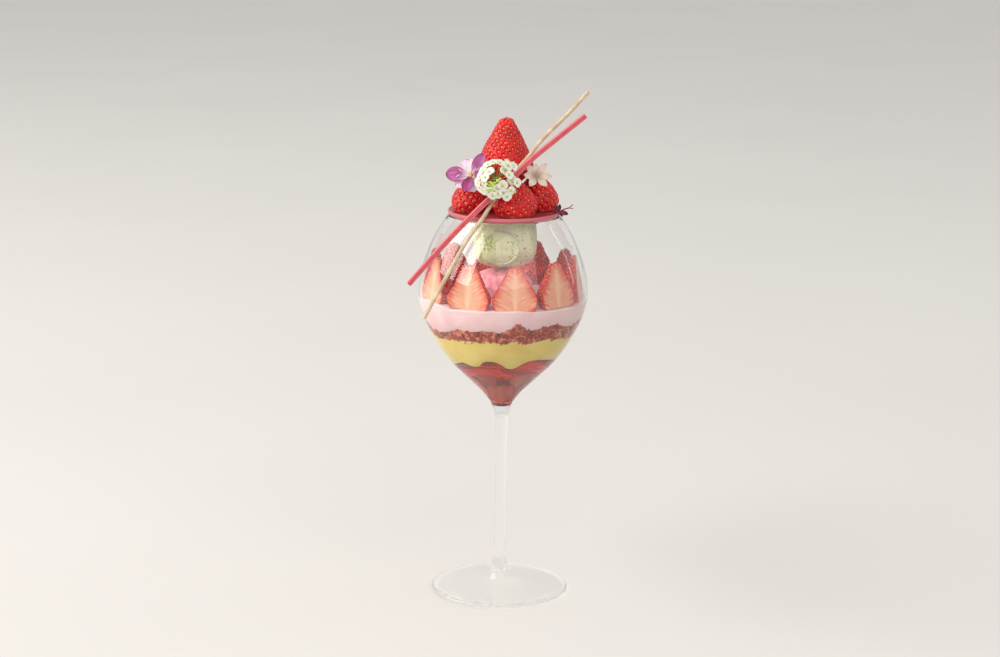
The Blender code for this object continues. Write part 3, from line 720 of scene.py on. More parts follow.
for order, (node, place, width, height, shape, lean, spacing) in enumerate(BERRIES):
    rises = np.r_[np.linspace(0.004, 0.03, 4), np.linspace(0.045, 0.97, int(height * 1.3 / SKIN_GRAIN)),
                  [0.98, 0.988, 0.994, 0.998]]
    angles = np.linspace(0, 2 * math.pi, int(math.pi * width / SKIN_GRAIN), endpoint=False)
    grid_rise, grid_angle = np.meshgrid(rises, angles, indexing="ij")
    seed_rise, seed_angle = seed_spots(shape, width, height, spacing, order * 1.3)
    rings = berry_skin(width, height, shape, grid_rise, grid_angle)
    spots = berry_skin(width, height, shape, seed_rise, seed_angle)
    for points in (rings, spots):
        points[..., :2] *= (1 + 0.035 * lumps(points, 9.0, order * 5.1))[..., None]

    def settle(points):
        """Lean a berry towards the glass's axis and put it in its place."""
        points = np.array(points, float)
        points[..., 0] -= lean * points[..., 2] / height
        toward = math.atan2(place[1], place[0]) if lean > 0 else 0.0
        c, s = math.cos(toward), math.sin(toward)
        return np.stack([points[..., 0] * c - points[..., 1] * s, points[..., 0] * s + points[..., 1] * c,
                         points[..., 2]], axis=-1) + place

    rings, pits, collars = dimpled(rings, spots)
    rings[:, :, 2] = np.maximum(rings[:, :, 2], 0.0)
    under = [rings[0] * (s, s, 0) for s in (0.15, 0.4, 0.7, 0.92)]
    piece = loft("fruit_" + node, settle(np.concatenate([under, rings])), settle((0, 0, 0)),
                 settle((0, 0, height)), skin_material)
    blank = np.zeros((4, len(angles)))
    for label, values, at_tip in (("pit", pits, 0), ("collar", collars, 0), ("rise", grid_rise, 1)):
        keep(piece, label, 0, blank, values, at_tip)
    dress(piece, "berry", node)
    ahead = berry_skin(width, height, shape, np.minimum(seed_rise + 0.02, 1.0), seed_angle)
    mark_seeds("whole", settle(spots), settle(ahead), settle((0, 0, height * 0.3)))
print("whole berries carry", len(seed_marks["whole"]), "seeds")

# %% [markdown]
# ## Strawberry halves
# Ten halves stand round the glass with their cut faces outwards. The face shows how the fruit is built:
# a pale core, white strands that run from it to every seed, rosy flesh between them and a thin red rim.
# So the face stores, for each point, how far it is from the rim and where it lies on the fan of strands,
# and the material draws along those. The face's relief follows the same fan.

# %% Material of the cut face
made = soft("cut_strawberry_flesh", 0.3, 0.2, 2, (1.0, 0.45, 0.3), IOR=1.4, Coat_Weight=0.15,
            Coat_Roughness=0.2)
tree = made[1]
fan = add(tree, "ShaderNodeAttribute", attribute_name="fan").outputs["Vector"]
strand = grain(tree, 1.0, 2.0, 0.5, where=fan, stretch=(MM * 0.85, MM, MM))
waver = add(tree, "ShaderNodeMapRange", {0: strand, 1: 0.3, 2: 0.7, 3: -0.9, 4: 0.9}).outputs[0]
wobble = add(tree, "ShaderNodeMath", {0: guide(tree, "edge"), 1: waver}, operation="ADD").outputs[0]
flesh_material = paint(
    made, "#D84A2E", (wobble, 0.4, 4.2, "#DF9876"), (strand, 0.53, 0.68, "#F0CCB0", 0.0, 0.45),
    ("core", 0.05, 0.85, "#EEC6A0", 0.0, 0.62), ("edge", 0.3, 0.8, "#C7251C", 1.0, 0.0),
    relief=(strand, 0.15, 0.5))


def half_fruit(name, rings, first, last, skin_columns, flesh_below, flesh_shows, **kept):
    """A half berry, whose columns run over the skin and then across its cut face. Each kept value is
    given for the first point, the rings and the last point."""
    piece = loft(name, rings[:, ::-1], first, last, skin_material, flesh_material)
    for label, (at_first, values, at_last) in kept.items():
        keep(piece, label, at_first, values[:, ::-1], at_last)
    rows, columns = rings.shape[:2]
    flesh = ((np.arange(columns)[::-1] >= skin_columns) & flesh_shows).astype(np.int32)
    below = np.ones_like(flesh) if flesh_below else flesh
    piece.data.polygons.foreach_set("material_index", np.r_[below, np.tile(flesh, rows)])
    return piece


def beside(skin_columns, values):
    """Values of a cut face with nothing beside them for the skin."""
    return np.hstack([np.zeros((len(values), skin_columns)), values])


# %% Ten halves
HALF_HEIGHT = 25.5
HALF_WIDTH = 26.0
HALF_DEPTH = 12.2
HALF_FACE = 45.0
HALF_LEAN = 0.15
HALF_BASE = 175.0
HALVES = 10
FIRST_HALF = 9.2
SKIN_COLUMNS, FACE_COLUMNS = 62, 46
dice_halves = random.Random(7)

for number in range(HALVES):
    azimuth = math.radians(FIRST_HALF + number * 360 / HALVES + dice_halves.uniform(-1.0, 1.0))
    height = HALF_HEIGHT * dice_halves.uniform(0.95, 1.03)
    width = HALF_WIDTH * dice_halves.uniform(0.94, 1.0)
    flat = HALF_DEPTH / (width / 2)
    rises = np.r_[0.004, 0.012, np.linspace(0.03, 0.965, 56), 0.978, 0.987, 0.994, 0.998]
    wander = [0.5 * noise.noise(Vector((number * 3.3, r * 4, 0)))
              + 0.5 * noise.noise(Vector((number * 3.3, r * 13, 5))) for r in rises]
    reach = width / 2 * smooth_at(HEART, rises) + wander * np.minimum(1, (1 - rises) * 8)
    reach = reach[:, None]
    theta = np.linspace(0, math.pi, SKIN_COLUMNS)
    across = np.linspace(-1, 1, FACE_COLUMNS + 2)[1:-1]
    x = np.hstack([reach * np.cos(theta), reach * across])
    y = np.hstack([reach * np.sin(theta) * flat, 0 * reach * across])
    z = np.repeat((rises * height)[:, None], x.shape[1], axis=1)
    rings = np.stack([x, y, z], axis=-1)

    # Dimples on the skin alone.
    seed_rise, seed_angle = seed_spots(HEART, width, height, 3.4, number * 2.1)
    facing = seed_angle < math.pi
    spots = berry_skin(width, height, HEART, seed_rise[facing], seed_angle[facing])
    spots[:, 1] *= flat
    moved, pits, collars = dimpled(rings, spots)
    on_skin = np.arange(x.shape[1]) < SKIN_COLUMNS
    rings[:, on_skin] = moved[:, on_skin]

    # The fan of strands on the face, with a low relief that dies out at the rim.
    off_core = np.abs(reach * across)
    side_of_core = np.sign(across) * np.ones_like(reach)
    vein = z[:, ~on_skin] - 0.95 * off_core + 0.03 * off_core ** 2
    relief = lumps(np.stack([vein * 0.8, off_core * 0.12, number + 9 * side_of_core], axis=-1), 1)
    margin = np.minimum(reach * (1 - np.abs(across)) * 0.85, (1 - rises[:, None]) * height * 0.55)
    rings[:, ~on_skin, 1] = 0.14 * relief * np.clip(margin / 2, 0, 1)
    rings[:, :, 2] = np.maximum(rings[:, :, 2], 0.0)
    core = np.clip(1 - off_core / (0.7 + 2.6 * np.sin(math.pi * np.clip(rises[:, None] * 1.15, 0, 1))), 0, 1)
    fans = [beside(SKIN_COLUMNS, part) for part in (vein, off_core * 0.16, number * 7.0 + side_of_core * 3)]

    def put(points):
        """Stand a half in its place, its face against the wall."""
        points = np.array(points, float)
        outward = HALF_FACE - points[..., 1] - HALF_LEAN * points[..., 2]
        return round_glass(azimuth, outward, points[..., 0], points[..., 2] + HALF_BASE)

    def under(values, at_base=0.0):
        """Values of the grid with three more rings under it for the cut base."""
        return np.concatenate([np.full((3, *values.shape[1:]), at_base), values])

    base = [(rings[0] - (0, 5, 0)) * (s, s, 0) + (0, 5, 0) for s in (0.2, 0.6, 0.92)]
    node = "half_%02d" % (number + 1)
    piece = half_fruit(
        "fruit_" + node, put(np.concatenate([base, rings])), put((0, 5, 0)), put((0, 0.3, height)),
        SKIN_COLUMNS, True, True,
        pit=(0, under(pits * on_skin), 0), collar=(0, under(collars * on_skin), 0),
        rise=(0, under(rises[:, None] + 0 * x), 1), edge=(5, under(beside(SKIN_COLUMNS, margin), 5), 0),
        core=(1, under(beside(SKIN_COLUMNS, core), 0.5), 0),
        fan=((0, 0, 0), under(np.dstack(fans)), (0, 0, 0)))
    dress(piece, "cut_berry", node)
    mark_seeds("halves", put(spots), put(spots + (0, 0, 0.3)), put((0, 2.0, height * 0.35)))
print("halves carry", len(seed_marks["halves"]), "seeds")

# %% [markdown]
# The seeds themselves are one small pip, set by Geometry Nodes on every marked dimple with its long
# side towards the tip of its berry.

# %% Seeds in their dimples


def marks_object(name, marks):
    """An object whose only content is points, each with its stored directions."""
    spots, ups, aheads = zip(*marks)
    made = make_piece(name, spots, [])
    keep(made, "up", ups)
    keep(made, "ahead", aheads)
    return made


def drop(*helpers):
    """Remove helper objects."""
    for helper in helpers:
        bpy.data.objects.remove(helper, do_unlink=True)


for kind, marks in seed_marks.items():
    points = marks_object("seed_marks_" + kind, marks)
    pips = grow("seeds_of_" + kind, points, stand, Scale=1.0, Vary=0.15, Seed=3, Shape=seed_shape,
                Material=seed_material)
    dress(pips, "berry" if kind == "whole" else "cut_berry")
    drop(points)

# %% [markdown]
# ## Sorbet and ice cream
# Sorbet is frozen fruit: dense, frosty and faintly rough from its ice. The pistachio ice cream is a
# squared scoop. A spatula drawn across its front left a smooth round hollow with a raised lip along
# its right side, and ground nuts show as green clouds and specks.

# %% Pink sorbet
SORBET = (-0.6, 1.0, 180.4)
CREAM_TOP = 175.0
# Its ice crystals scatter the light, so it has a frosty sheen and no clear highlight.
sorbet_material = paint(soft("berry_sorbet", 0.5, 0.25, 3), "#D9727E", ((3.0, 5.0), 0.4, 0.62, "#EBA2AE"),
                        relief=((0.8, 5.0, 0.65), 0.25, 0.6))


def ball(count_up, count_round):
    """Directions over a sphere, in rings from the bottom to the top."""
    tilt = np.linspace(-math.pi / 2, math.pi / 2, count_up + 2)[1:-1]
    turn = np.linspace(0, 2 * math.pi, count_round, endpoint=False)
    tilt, turn = np.meshgrid(tilt, turn, indexing="ij")
    return np.stack([np.cos(tilt) * np.cos(turn), np.cos(tilt) * np.sin(turn), np.sin(tilt)], axis=-1)


ways = ball(70, 120)
body = ways * (17.5, 17.5, 10.6) * (1 + 0.03 * lumps(ways, 0.4) + 0.012 * lumps(ways, 0.09, 2.0))[..., None]
body[..., 2] = np.maximum(body[..., 2], CREAM_TOP - SORBET[2])
sorbet = loft("sorbet_ball", body + SORBET, (*SORBET[:2], CREAM_TOP), (*SORBET[:2], 190.9), sorbet_material)
dress(sorbet, "pink_sorbet", "pink_sorbet")

# %% Pistachio scoop
SCOOP = (1.0, 0.0, 207.2)
SCOOP_HALF = (17.7, 16.5, 14.7)
SCOOP_POWER = 3.4
SWIPE_MIDDLE = (-2.6, -2.4)
SWIPE_RADIUS = 9.8


def hill(offset, width):
    """1 where the offset is nothing, falling away over a width."""
    return np.exp(-(offset / width) ** 2)


# A ball squared off by a power, narrower low down.
ways = ball(130, 200)
length = (np.abs(ways) ** SCOOP_POWER).sum(axis=-1) ** (-1 / SCOOP_POWER)
body = ways * length[..., None] * SCOOP_HALF
body[..., :2] *= (1 - 0.07 * np.clip(-ways[..., 2] - 0.25, 0, 1) ** 1.5)[..., None]

# Rough everywhere but in the swipe, which has a lip on its right and a step beyond it.
front = np.clip(-ways[..., 1] * 2.2 - 0.2, 0, 1)
x, z = body[..., 0] - SWIPE_MIDDLE[0], body[..., 2] - SWIPE_MIDDLE[1]
from_middle = np.hypot(x, z * 1.05)
right_side = np.clip(np.cos(np.arctan2(z, x) - 0.15) * 1.7, 0, 1)
swiped = np.clip((SWIPE_RADIUS - from_middle) / 1.2 + 0.5, 0, 1) * front
rough = 1 - swiped
fine = 0.022 * lumps(ways, 0.16, 4.0) + 0.012 * lumps(ways, 0.06, 7.0)
body *= (1 + 0.02 * lumps(ways, 0.5) + rough * fine)[..., None]
ledge = hill(from_middle - SWIPE_RADIUS - 0.2, 0.55) * right_side * (1 + 0.8 * lumps(ways, 0.12, 2.0))
beyond = np.clip((from_middle - SWIPE_RADIUS) / 0.8, 0, 1) * np.clip(x / 4, 0, 1)
dome = np.maximum(1 - (from_middle / SWIPE_RADIUS) ** 2, 0)
body[..., 1] += front * (-0.9 * swiped * dome + 0.9 * swiped - 1.8 * ledge + 1.7 * beyond)

# A crease on the left of the front, a skirt at the lower left, and a flat top under the disc.
body[..., 1] += 0.9 * hill(body[..., 0] + 13.6 + 0.1 * body[..., 2], 0.6) * front
body[..., 0] -= hill(body[..., 2] + 8.5, 3.0) * np.clip(-ways[..., 0] - 0.3, 0, 1)
body[..., :2] *= (1 - 0.35 * np.clip(ways[..., 2] - 0.45, 0, 1) ** 1.6)[..., None]
body[..., 2] = np.minimum(body[..., 2], SCOOP_HALF[2])
patch = hill(body[..., 0] + 9.5, 3.4) * hill(body[..., 2] - 0.5, 4.2) * front
# Browner towards the lower right of the front.
brown_tint = hill(body[..., 0] - 11, 5) * hill(body[..., 2] + 8, 4) * front

# Milky ice cream lets light in a little way, which softens its edges. In the swipe the relief is low, so
# that it looks pressed smooth, and the rest looks torn and airy.
made = soft("pistachio_ice_cream", 0.45, 0.2, 3, (1.0, 0.8, 0.4))
tree = made[1]
speckle = grain(tree, 1.8, 5.0)
ragged = add(tree, "ShaderNodeMapRange", {0: speckle, 1: 0.38, 2: 0.6, 3: 0.0, 4: 1.6}).outputs[0]
broken, pits = [add(tree, "ShaderNodeMath", {0: one, 1: other}, operation="MULTIPLY").outputs[0]
                for one, other in ((guide(tree, "patch"), ragged),
                                   (grain(tree, 1.0, 5.0, 0.65), guide(tree, "coarse")))]
pistachio_material = paint(
    made, "#D8DDB0", ((8.0, 4.0), 0.54, 0.7, "#B4BF76", 0.0, 0.7), (broken, 0, 1, "#98A238"),
    ("brown_tint", 0.1, 1.0, "#B08A50", 0.0, 0.4), ((1.5, 2.0, 0.4), 0.65, 0.69, "#76823A"),
    relief=(pits, 0.6, 0.9))
scoop = loft("pistachio_ice", body + SCOOP, (*SCOOP[:2], SCOOP[2] - SCOOP_HALF[2] * 0.99),
             (*SCOOP[:2], SCOOP[2] + SCOOP_HALF[2]), pistachio_material)
keep(scoop, "cover", 1, ways[..., 2] < 0.9, 0)
for label, values in (("patch", patch), ("brown_tint", brown_tint), ("coarse", 0.25 + 0.75 * rough)):
    keep(scoop, label, 0, values, 0)

# Ground nuts are dry and dull green, so they show as small dark specks on the pale ice cream.
nut_material = paint(start_material("ground_pistachio", Roughness=0.6), "#5E6E28", ((4.0,), 0, 1, "#A0A046"))
nut_shape = pebble("nut_shape", 0.8, (1.0, 0.7, 0.5), detail=1, seed=3.0)
nuts = grow("nut_specks", scoop, strew, Density=17000.0, Least_size=0.22, Most_size=0.75, Seed=8,
            Shape=nut_shape, Material=nut_material)
dress(scoop, "pistachio", "pistachio_scoop")
dress(nuts, "pistachio")

# %% [markdown]
# ## The disc
# A thin plate of red-tinted chocolate closes the glass and carries the berries. It was set on a flat
# sheet, so it is satin, with a slightly thicker edge where it was cut and lifted. That edge carries a
# painted highlight that makes it paler.

# %% Disc
DISC_RADIUS = 32.0
DISC_BOTTOM = 222.3
DISC_TOP = 224.0
disc_profile = [(r, DISC_BOTTOM) for r in (6, 12, 18, 24, 28, 30, 31.0, 31.5)]
disc_profile += [(31.85, DISC_BOTTOM + 0.4), (DISC_RADIUS, DISC_BOTTOM + 1.0), (31.95, DISC_TOP + 0.3),
                 (31.75, DISC_TOP + 0.7), (31.4, DISC_TOP + 0.8), (31.0, DISC_TOP + 0.6),
                 (30.5, DISC_TOP + 0.15)]
disc_profile += [(r, DISC_TOP) for r in (30.0, 27, 22, 16, 10, 5)]

# Chocolate that set against a sheet has one broad, soft highlight. Its edge is painted paler, as a
# painted highlight: a line of light round the rim.
made = start_material("red_chocolate", Roughness=0.38, Coat_Weight=0.1)
tree = made[1]
place = add(tree, "ShaderNodeTexCoord").outputs["Object"]
level = add(tree, "ShaderNodeMapping", {"Vector": place, "Scale": (1, 1, 0)}).outputs[0]
from_axis = add(tree, "ShaderNodeVectorMath", {0: level}, operation="LENGTH").outputs["Value"]
disc_material = paint(made, "#A0303C", ((4.0, 5.0), 0.35, 0.65, "#B5434E"),
                      (from_axis, 30.9 * MM, 31.9 * MM, "#CE7276", 0.0, 0.7), relief=((1.2, 4.0), 0.12, 0.4))
disc_rings = np.array(turn_round(disc_profile, 200))
uneven = 1 + 0.006 * lumps(disc_rings * (1, 1, 0), 14.0, 1.0)
disc_rings[..., :2] *= np.minimum(uneven, 1.0)[..., None]
disc = loft("chocolate_disc", disc_rings, (0, 0, DISC_BOTTOM), (0, 0, DISC_TOP), disc_material)
dress(disc, "red_disc", "red_disc")

# %% [markdown]
# ## The sticks
# Two baked sticks lean across the rim: a square one piped from pink dough, with painted highlights along
# its edges, and a thin round one that bent as it baked. Each is a loft of small rings along a smooth
# route.

# %% Sticks
PINK_ROUTE = [
    (-52.5, -37.4, 188.3), (-38.2, -34.2, 204.7), (-22.9, -31.1, 221.2), (-9.0, -28.2, 234.8),
    (2.8, -25.6, 245.5), (13.4, -22.9, 255.8), (27.9, -18.9, 267.6), (44.4, -14.3, 280.6)]
CREAM_ROUTE = [
    (-43.8, -40.5, 169.8), (-31.2, -39.4, 193.9), (-18.4, -34.9, 216.3), (-12.0, -31.9, 225.0),
    (-5.1, -24.7, 235.3), (1.4, -21.9, 244.2), (8.0, -19.8, 252.1), (13.2, -18.2, 257.9),
    (18.9, -16.0, 265.2), (36.0, -10.8, 282.4), (46.0, -8.0, 293.3)]
STEP = 0.6
ROUNDED_END = 0.35


def sweep(points, section, across):
    """Rings of a section, in millimetres, along points, and the directions along them."""
    ways = np.gradient(points, axis=0)
    ways /= np.linalg.norm(ways, axis=1, keepdims=True)
    side = np.cross(ways, across)
    side /= np.linalg.norm(side, axis=1, keepdims=True)
    face = np.cross(side, ways)
    return points[:, None] + side[:, None] * section[:, :1] + face[:, None] * section[:, 1:], ways


def circle(radius, sides):
    """A round section."""
    turns = np.linspace(0, 2 * math.pi, sides, endpoint=False)
    return radius * np.stack([np.cos(turns), np.sin(turns)], 1)


def stick(name, route, section, rough, finish):
    """Sweep a section along a smooth curve through a route. The section stays turned to the front."""
    route = np.array(route, float)
    run = np.r_[0, np.cumsum(np.linalg.norm(np.diff(route, axis=0), axis=1))]
    where = np.linspace(0, run[-1], int(run[-1] / STEP))
    points = np.stack([smooth_at(list(zip(run, route[:, i])), where) for i in range(3)], axis=1)
    rings, ways = sweep(points, section, (0, -1, 0))
    rings = points[:, None] + (rings - points[:, None]) * (1 + rough * lumps(rings, 1.3))[..., None]
    start, end = points[0], points[-1]
    caps = [start + (rings[0] - start) * s - ways[0] * ROUNDED_END * d for s, d in ((0.5, 1.0), (0.85, 0.8))]
    tails = [end + (rings[-1] - end) * s + ways[-1] * ROUNDED_END * d for s, d in ((0.85, 0.8), (0.5, 1.0))]
    rings = np.concatenate([caps, rings, tails])
    made = loft(name, rings, start - ways[0] * ROUNDED_END, end + ways[-1] * ROUNDED_END, finish)
    ridge = np.hypot(section[:, 0], section[:, 1])
    ridge = (ridge - ridge.min()) / max(np.ptp(ridge), 1e-6)
    keep(made, "ridge", 0, np.tile(ridge, len(rings)), 0)
    return made


steps = np.linspace(-1, 1, 7)[:-1]
flat = np.ones(6)
square = np.concatenate([np.stack(side, 1) for side in ((steps, -flat), (flat, steps), (-steps, flat),
                                                        (-flat, -steps))])
square *= 1.5 / np.maximum(1, (np.abs(square) ** 9).sum(axis=1) ** (1 / 9))[:, None]

# Baked dough is dry and matt, grainy like bread crust. The square stick's corners are painted paler, as
# painted highlights that draw thin light lines along it.
pink_dough = paint(start_material("pink_baked_dough", Roughness=0.6), "#BE454F",
                   ((3.0, 5.0), 0.35, 0.65, "#CE565F"), ("ridge", 0.55, 1.0, "#EFA4A4", 0.0, 0.75),
                   relief=((0.6, 5.0, 0.7), 0.15, 0.6))
cream_dough = paint(start_material("cream_baked_dough", Roughness=0.65), "#BCA384",
                    ((6.0, 4.0), 0.35, 0.65, "#D5C6A8"), relief=((0.7, 5.0, 0.7), 0.15, 0.6))
dress(stick("pink_dough_stick", PINK_ROUTE, square, 0.02, pink_dough), "pink_biscuit", "pink_stick")
dress(stick("cream_dough_stick", CREAM_ROUTE, circle(1.15, 24), 0.05, cream_dough), "cream_biscuit",
      "cream_stick")

# %% [markdown]
# ## Flowers
# A petal is a thin sheet, narrow at its root, cupped across and curled along, with a frilled edge. One
# function makes any petal from a length, a width and a curl, and a flower is a few of them turned round
# its eye. Each keeps a map of where a point lies between root and tip and from side to side, which the
# material uses for veins and for the colour's fade.

# %% Petals


def petal_sheet(length, width, pointed, cup, curl, frill, seed, rows=18, columns=13):
    """A petal's grid of points, root at the origin, tip along +X, face up."""
    t = np.linspace(0, 1, rows)[:, None]
    s = np.linspace(-1, 1, columns)[None, :]
    outline = np.sin(math.pi * t ** (1.15 + 0.3 * (1 - pointed))) ** (0.55 + 0.5 * pointed)
    outline = np.maximum(outline, 0.1 * (1 - t)) * (1 - pointed * 0.35 * t)
    along, across = t + 0 * s, 0 * t + s
    wave = lumps(np.stack([along * 2.2, across * 3.0, seed + 0 * along], axis=-1), 1)
    z = cup * s ** 2 * outline + curl * t ** 2 + frill * wave * t
    return np.stack([length * along, width / 2 * outline * s, z], axis=-1), along, across


def flower(name, petals, place, facing, thickness, finish, **shared):
    """Join petals into one piece. Each has a direction, a lift, and what petal_sheet needs that isn't
    shared by them all."""
    turn = Vector(facing).to_track_quat("Z", "Y").to_matrix()
    points, faces, maps = [], [], []
    for direction, lift, own in petals:
        sheet, along, across = petal_sheet(**shared, **own)
        rows, columns = sheet.shape[:2]
        swing = (Matrix.Rotation(math.radians(direction), 3, "Z")
                 @ Matrix.Rotation(math.radians(-lift), 3, "Y"))
        start = len(points)
        points += [tuple(turn @ (swing @ Vector(p)) + Vector(place)) for p in sheet.reshape(-1, 3)]
        maps += list(zip(across.ravel() * 0.5 + 0.5, along.ravel()))
        corners = [start + r * columns + c for r in range(rows - 1) for c in range(columns - 1)]
        faces += [(a, a + columns, a + columns + 1, a + 1) for a in corners]
    made = make_piece(name, points, faces, finish)
    layer_of_map = made.data.uv_layers.new(name="petal")
    for loop in made.data.loops:
        layer_of_map.data[loop.index].uv = maps[loop.vertex_index]
    shell = made.modifiers.new("Thickness", "SOLIDIFY")
    shell.thickness = thickness * MM
    shell.offset = 0.0
    return made


def petal_material(name, root, tip, vein, vein_share, roughness=0.55, pale_to=0.75):
    """Petals are thin and velvety: colour fades from root to tip, veins run along them."""
    made = start_material(name, Roughness=roughness, Subsurface_Weight=0.15, Subsurface_Scale=MM,
                          Sheen_Weight=0.1)
    tree = made[1]
    place = add(tree, "ShaderNodeUVMap", uv_map="petal").outputs[0]
    along = add(tree, "ShaderNodeSeparateXYZ", {0: place}).outputs[1]
    ribs = grain(tree, 1.0, 2.0, 0.5, where=place, stretch=(0.011, 0.0016, 0.001))
    waver = add(tree, "ShaderNodeMapRange", {0: ribs, 1: 0.3, 2: 0.7, 3: -0.12, 4: 0.12}).outputs[0]
    cloudy = add(tree, "ShaderNodeMath", {0: along, 1: waver}, operation="ADD").outputs[0]
    thin = add(tree, "ShaderNodeMapRange", {0: ribs, 1: 0.5, 2: 0.6, 3: 0.0, 4: vein_share}).outputs[0]
    short = add(tree, "ShaderNodeMapRange", {0: along, 1: 0.98, 2: 0.3}).outputs[0]
    lines = add(tree, "ShaderNodeMath", {0: thin, 1: short}, operation="MULTIPLY").outputs[0]
    return paint(made, root, (cloudy, 0.1, pale_to, tip), (lines, 0, 1, vein), relief=(ribs, 0.1, 0.5))


# %% [markdown]
# The viola has two upright petals, two at the sides and a broad lip, purple at the tips and nearly white
# at the root, round a yellow eye.

# %% Viola
VIOLA = Vector((-18.9, -18.6, 247.0))
VIOLA_FACE = Vector((-0.18, -0.95, 0.3))
# The upright petals fade from near white to purple, the lip is a deeper purple at its root, and the
# petals behind are white with violet veins.
VIOLA_PETALS = [
    # piece, finish, how far behind the eye, and each petal's direction, lift, length, width and curl
    ("viola_purple", petal_material("viola_purple_petal", "#E8D2DC", "#A8548C", "#5E1E60", 0.75, 0.5, 0.42),
     0.0, [(61, 8, 14.4, 6.6, -1.4), (178, 4, 14.6, 8.8, -1.8), (3, 14, 7.0, 5.4, 0.4)]),
    ("viola_lip", petal_material("viola_lip_petal", "#641A4C", "#AA347C", "#561058", 0.6, 0.5, 0.5),
     -0.25, [(257, 10, 10.2, 6.2, 0.6)]),
    ("viola_pale", petal_material("viola_white_petal", "#F1E6EA", "#DEC6DA", "#9C62A6", 0.35, 0.5, 1.2),
     0.55, [(113, 3, 9.8, 10.4, -0.8), (214, 2, 10.6, 8.0, -1.4), (284, 6, 9.8, 8.6, 0.2)]),
]
for name, finish, back, petals in VIOLA_PETALS:
    built = [(direction, lift, {"length": length, "width": width, "curl": curl, "seed": direction / 40})
             for direction, lift, length, width, curl in petals]
    piece = flower(name, built, VIOLA - VIOLA_FACE * back, VIOLA_FACE, 0.22, finish, pointed=0.08, cup=1.2,
                   frill=1.1)
    dress(piece, "viola", *["viola"] * (name == "viola_purple"))

# The eye is matt yellow pollen with dark brown spots.
eye_material = paint(start_material("viola_eye", Roughness=0.6), "#D99A1E", ((0.9,), 0.4, 0.6, "#F2D25A"),
                     ((1.1, 2.0), 0.56, 0.62, "#5A2412"))
ways = ball(14, 22)
eye_spot = np.array(VIOLA + VIOLA_FACE * 0.6)
eye_ball = ways * (1.2, 0.9, 1.2) * (1 + 0.15 * lumps(ways, 0.5))[..., None] + eye_spot
dress(loft("viola_eye", eye_ball, eye_spot - (0, 0, 1.2), eye_spot + (0, 0, 1.2), eye_material), "viola")

# %% [markdown]
# The star flower is a jasmine kind: narrow pointed petals, waxy and beige-white, curling back from a
# short tube.

# %% Star flower
STAR = (17.4, -15.8, 246.6)
star_material = petal_material("waxy_star_petal", "#A88C72", "#E2D3C4", "#B49C84", 0.3, 0.45, 0.5)
star_petals = [(direction, 12, {"length": length, "seed": 20.0 + direction / 9}) for direction, length in (
    (48, 9.6), (88, 6.8), (129, 7.6), (173, 7.0), (235, 6.8), (316, 8.4), (358, 9.0))]
star = flower("star_petals", star_petals, STAR, (0.24, -0.94, 0.25), 0.3, star_material, width=5.0,
              pointed=0.62, cup=0.7, curl=-0.9, frill=0.6)
dress(star, "star_flower", "star_flower")

# %% [markdown]
# The white flowers are one round head of sweet alyssum kind: every floret has four round petals and a
# green-yellow middle, on thin stalks that spread from a knot. Green buds are still shut, most of them
# near the knot. One floret and one button for its middle are made, and Geometry Nodes set them on the
# marked places. The button, larger, is a bud too.

# %% White flower head
HEAD = Vector((-5.8, -31.0, 246.6))
STALK_END = Vector((-8.0, -15.0, 240.6))
FLORETS = [
    (-3.4, 5.0, 7.4), (3.0, 4.6, 8.6), (10.4, 0.6, 7.4), (-2.4, 0.6, 4.2), (8.2, -4.6, 3.6),
    (-7.6, 3.4, 1.2), (-5.2, -0.4, -1.6), (-7.4, 1.0, -4.8), (4.6, -6.6, -1.8), (12.6, -4.4, -0.6),
    (9.2, -6.6, -4.6), (2.6, -7.4, -6.4), (-2.6, -4.4, -5.6), (7.2, -7.6, -7.8), (-5.8, 4.4, 4.6),
    (-0.4, 5.0, 8.8), (7.4, -0.8, 8.0), (-8.6, 3.0, -2.2), (9.4, -2.6, 0.6), (-0.6, -6.2, -7.4),
    (5.2, -7.6, -5.6), (-5.4, -2.2, -5.6), (-4.6, -1.4, 1.6), (2.2, -5.6, -3.6), (5.6, -1.6, 5.4)]
BUDS = [
    (-3.4, -4.6, -3.6), (-2.2, -5.2, -4.4), (-1.0, -5.4, -3.8), (-4.2, -4.2, -4.6), (-2.8, -5.0, -5.2),
    (-0.4, -5.6, -4.8), (-1.6, -5.4, -5.6), (0.2, -5.0, -3.0), (7.0, 2.0, 10.6), (11.6, -6.0, -5.4),
    (-2.0, -4.8, -2.4), (-3.6, -4.2, -1.6), (-0.8, -4.6, -1.4), (0.8, -4.4, -1.0), (-2.2, -4.4, -0.6),
    (2.2, -4.2, 0.4), (-0.2, -5.4, -2.4), (3.4, -4.0, 1.4)]

# Thin white petals let some light through, so their shadows stay soft. Stalks and buds are young and
# yellow-green, the buds the lighter.
white_material = paint(start_material("white_floret_petal", Roughness=0.5, Subsurface_Weight=0.2,
                                      Subsurface_Scale=MM), "#DEDBCC", ((1.5,), 0, 1, "#F0EEE4"))
green_material = paint(start_material("young_stalk", Roughness=0.5, Subsurface_Weight=0.1), "#58742A",
                       ((3.0,), 0.4, 0.6, "#94A644"))
bud_material = paint(start_material("young_bud", Roughness=0.5, Subsurface_Weight=0.15), "#8FA62E",
                     ((1.6,), 0.4, 0.6, "#D2D86A"))

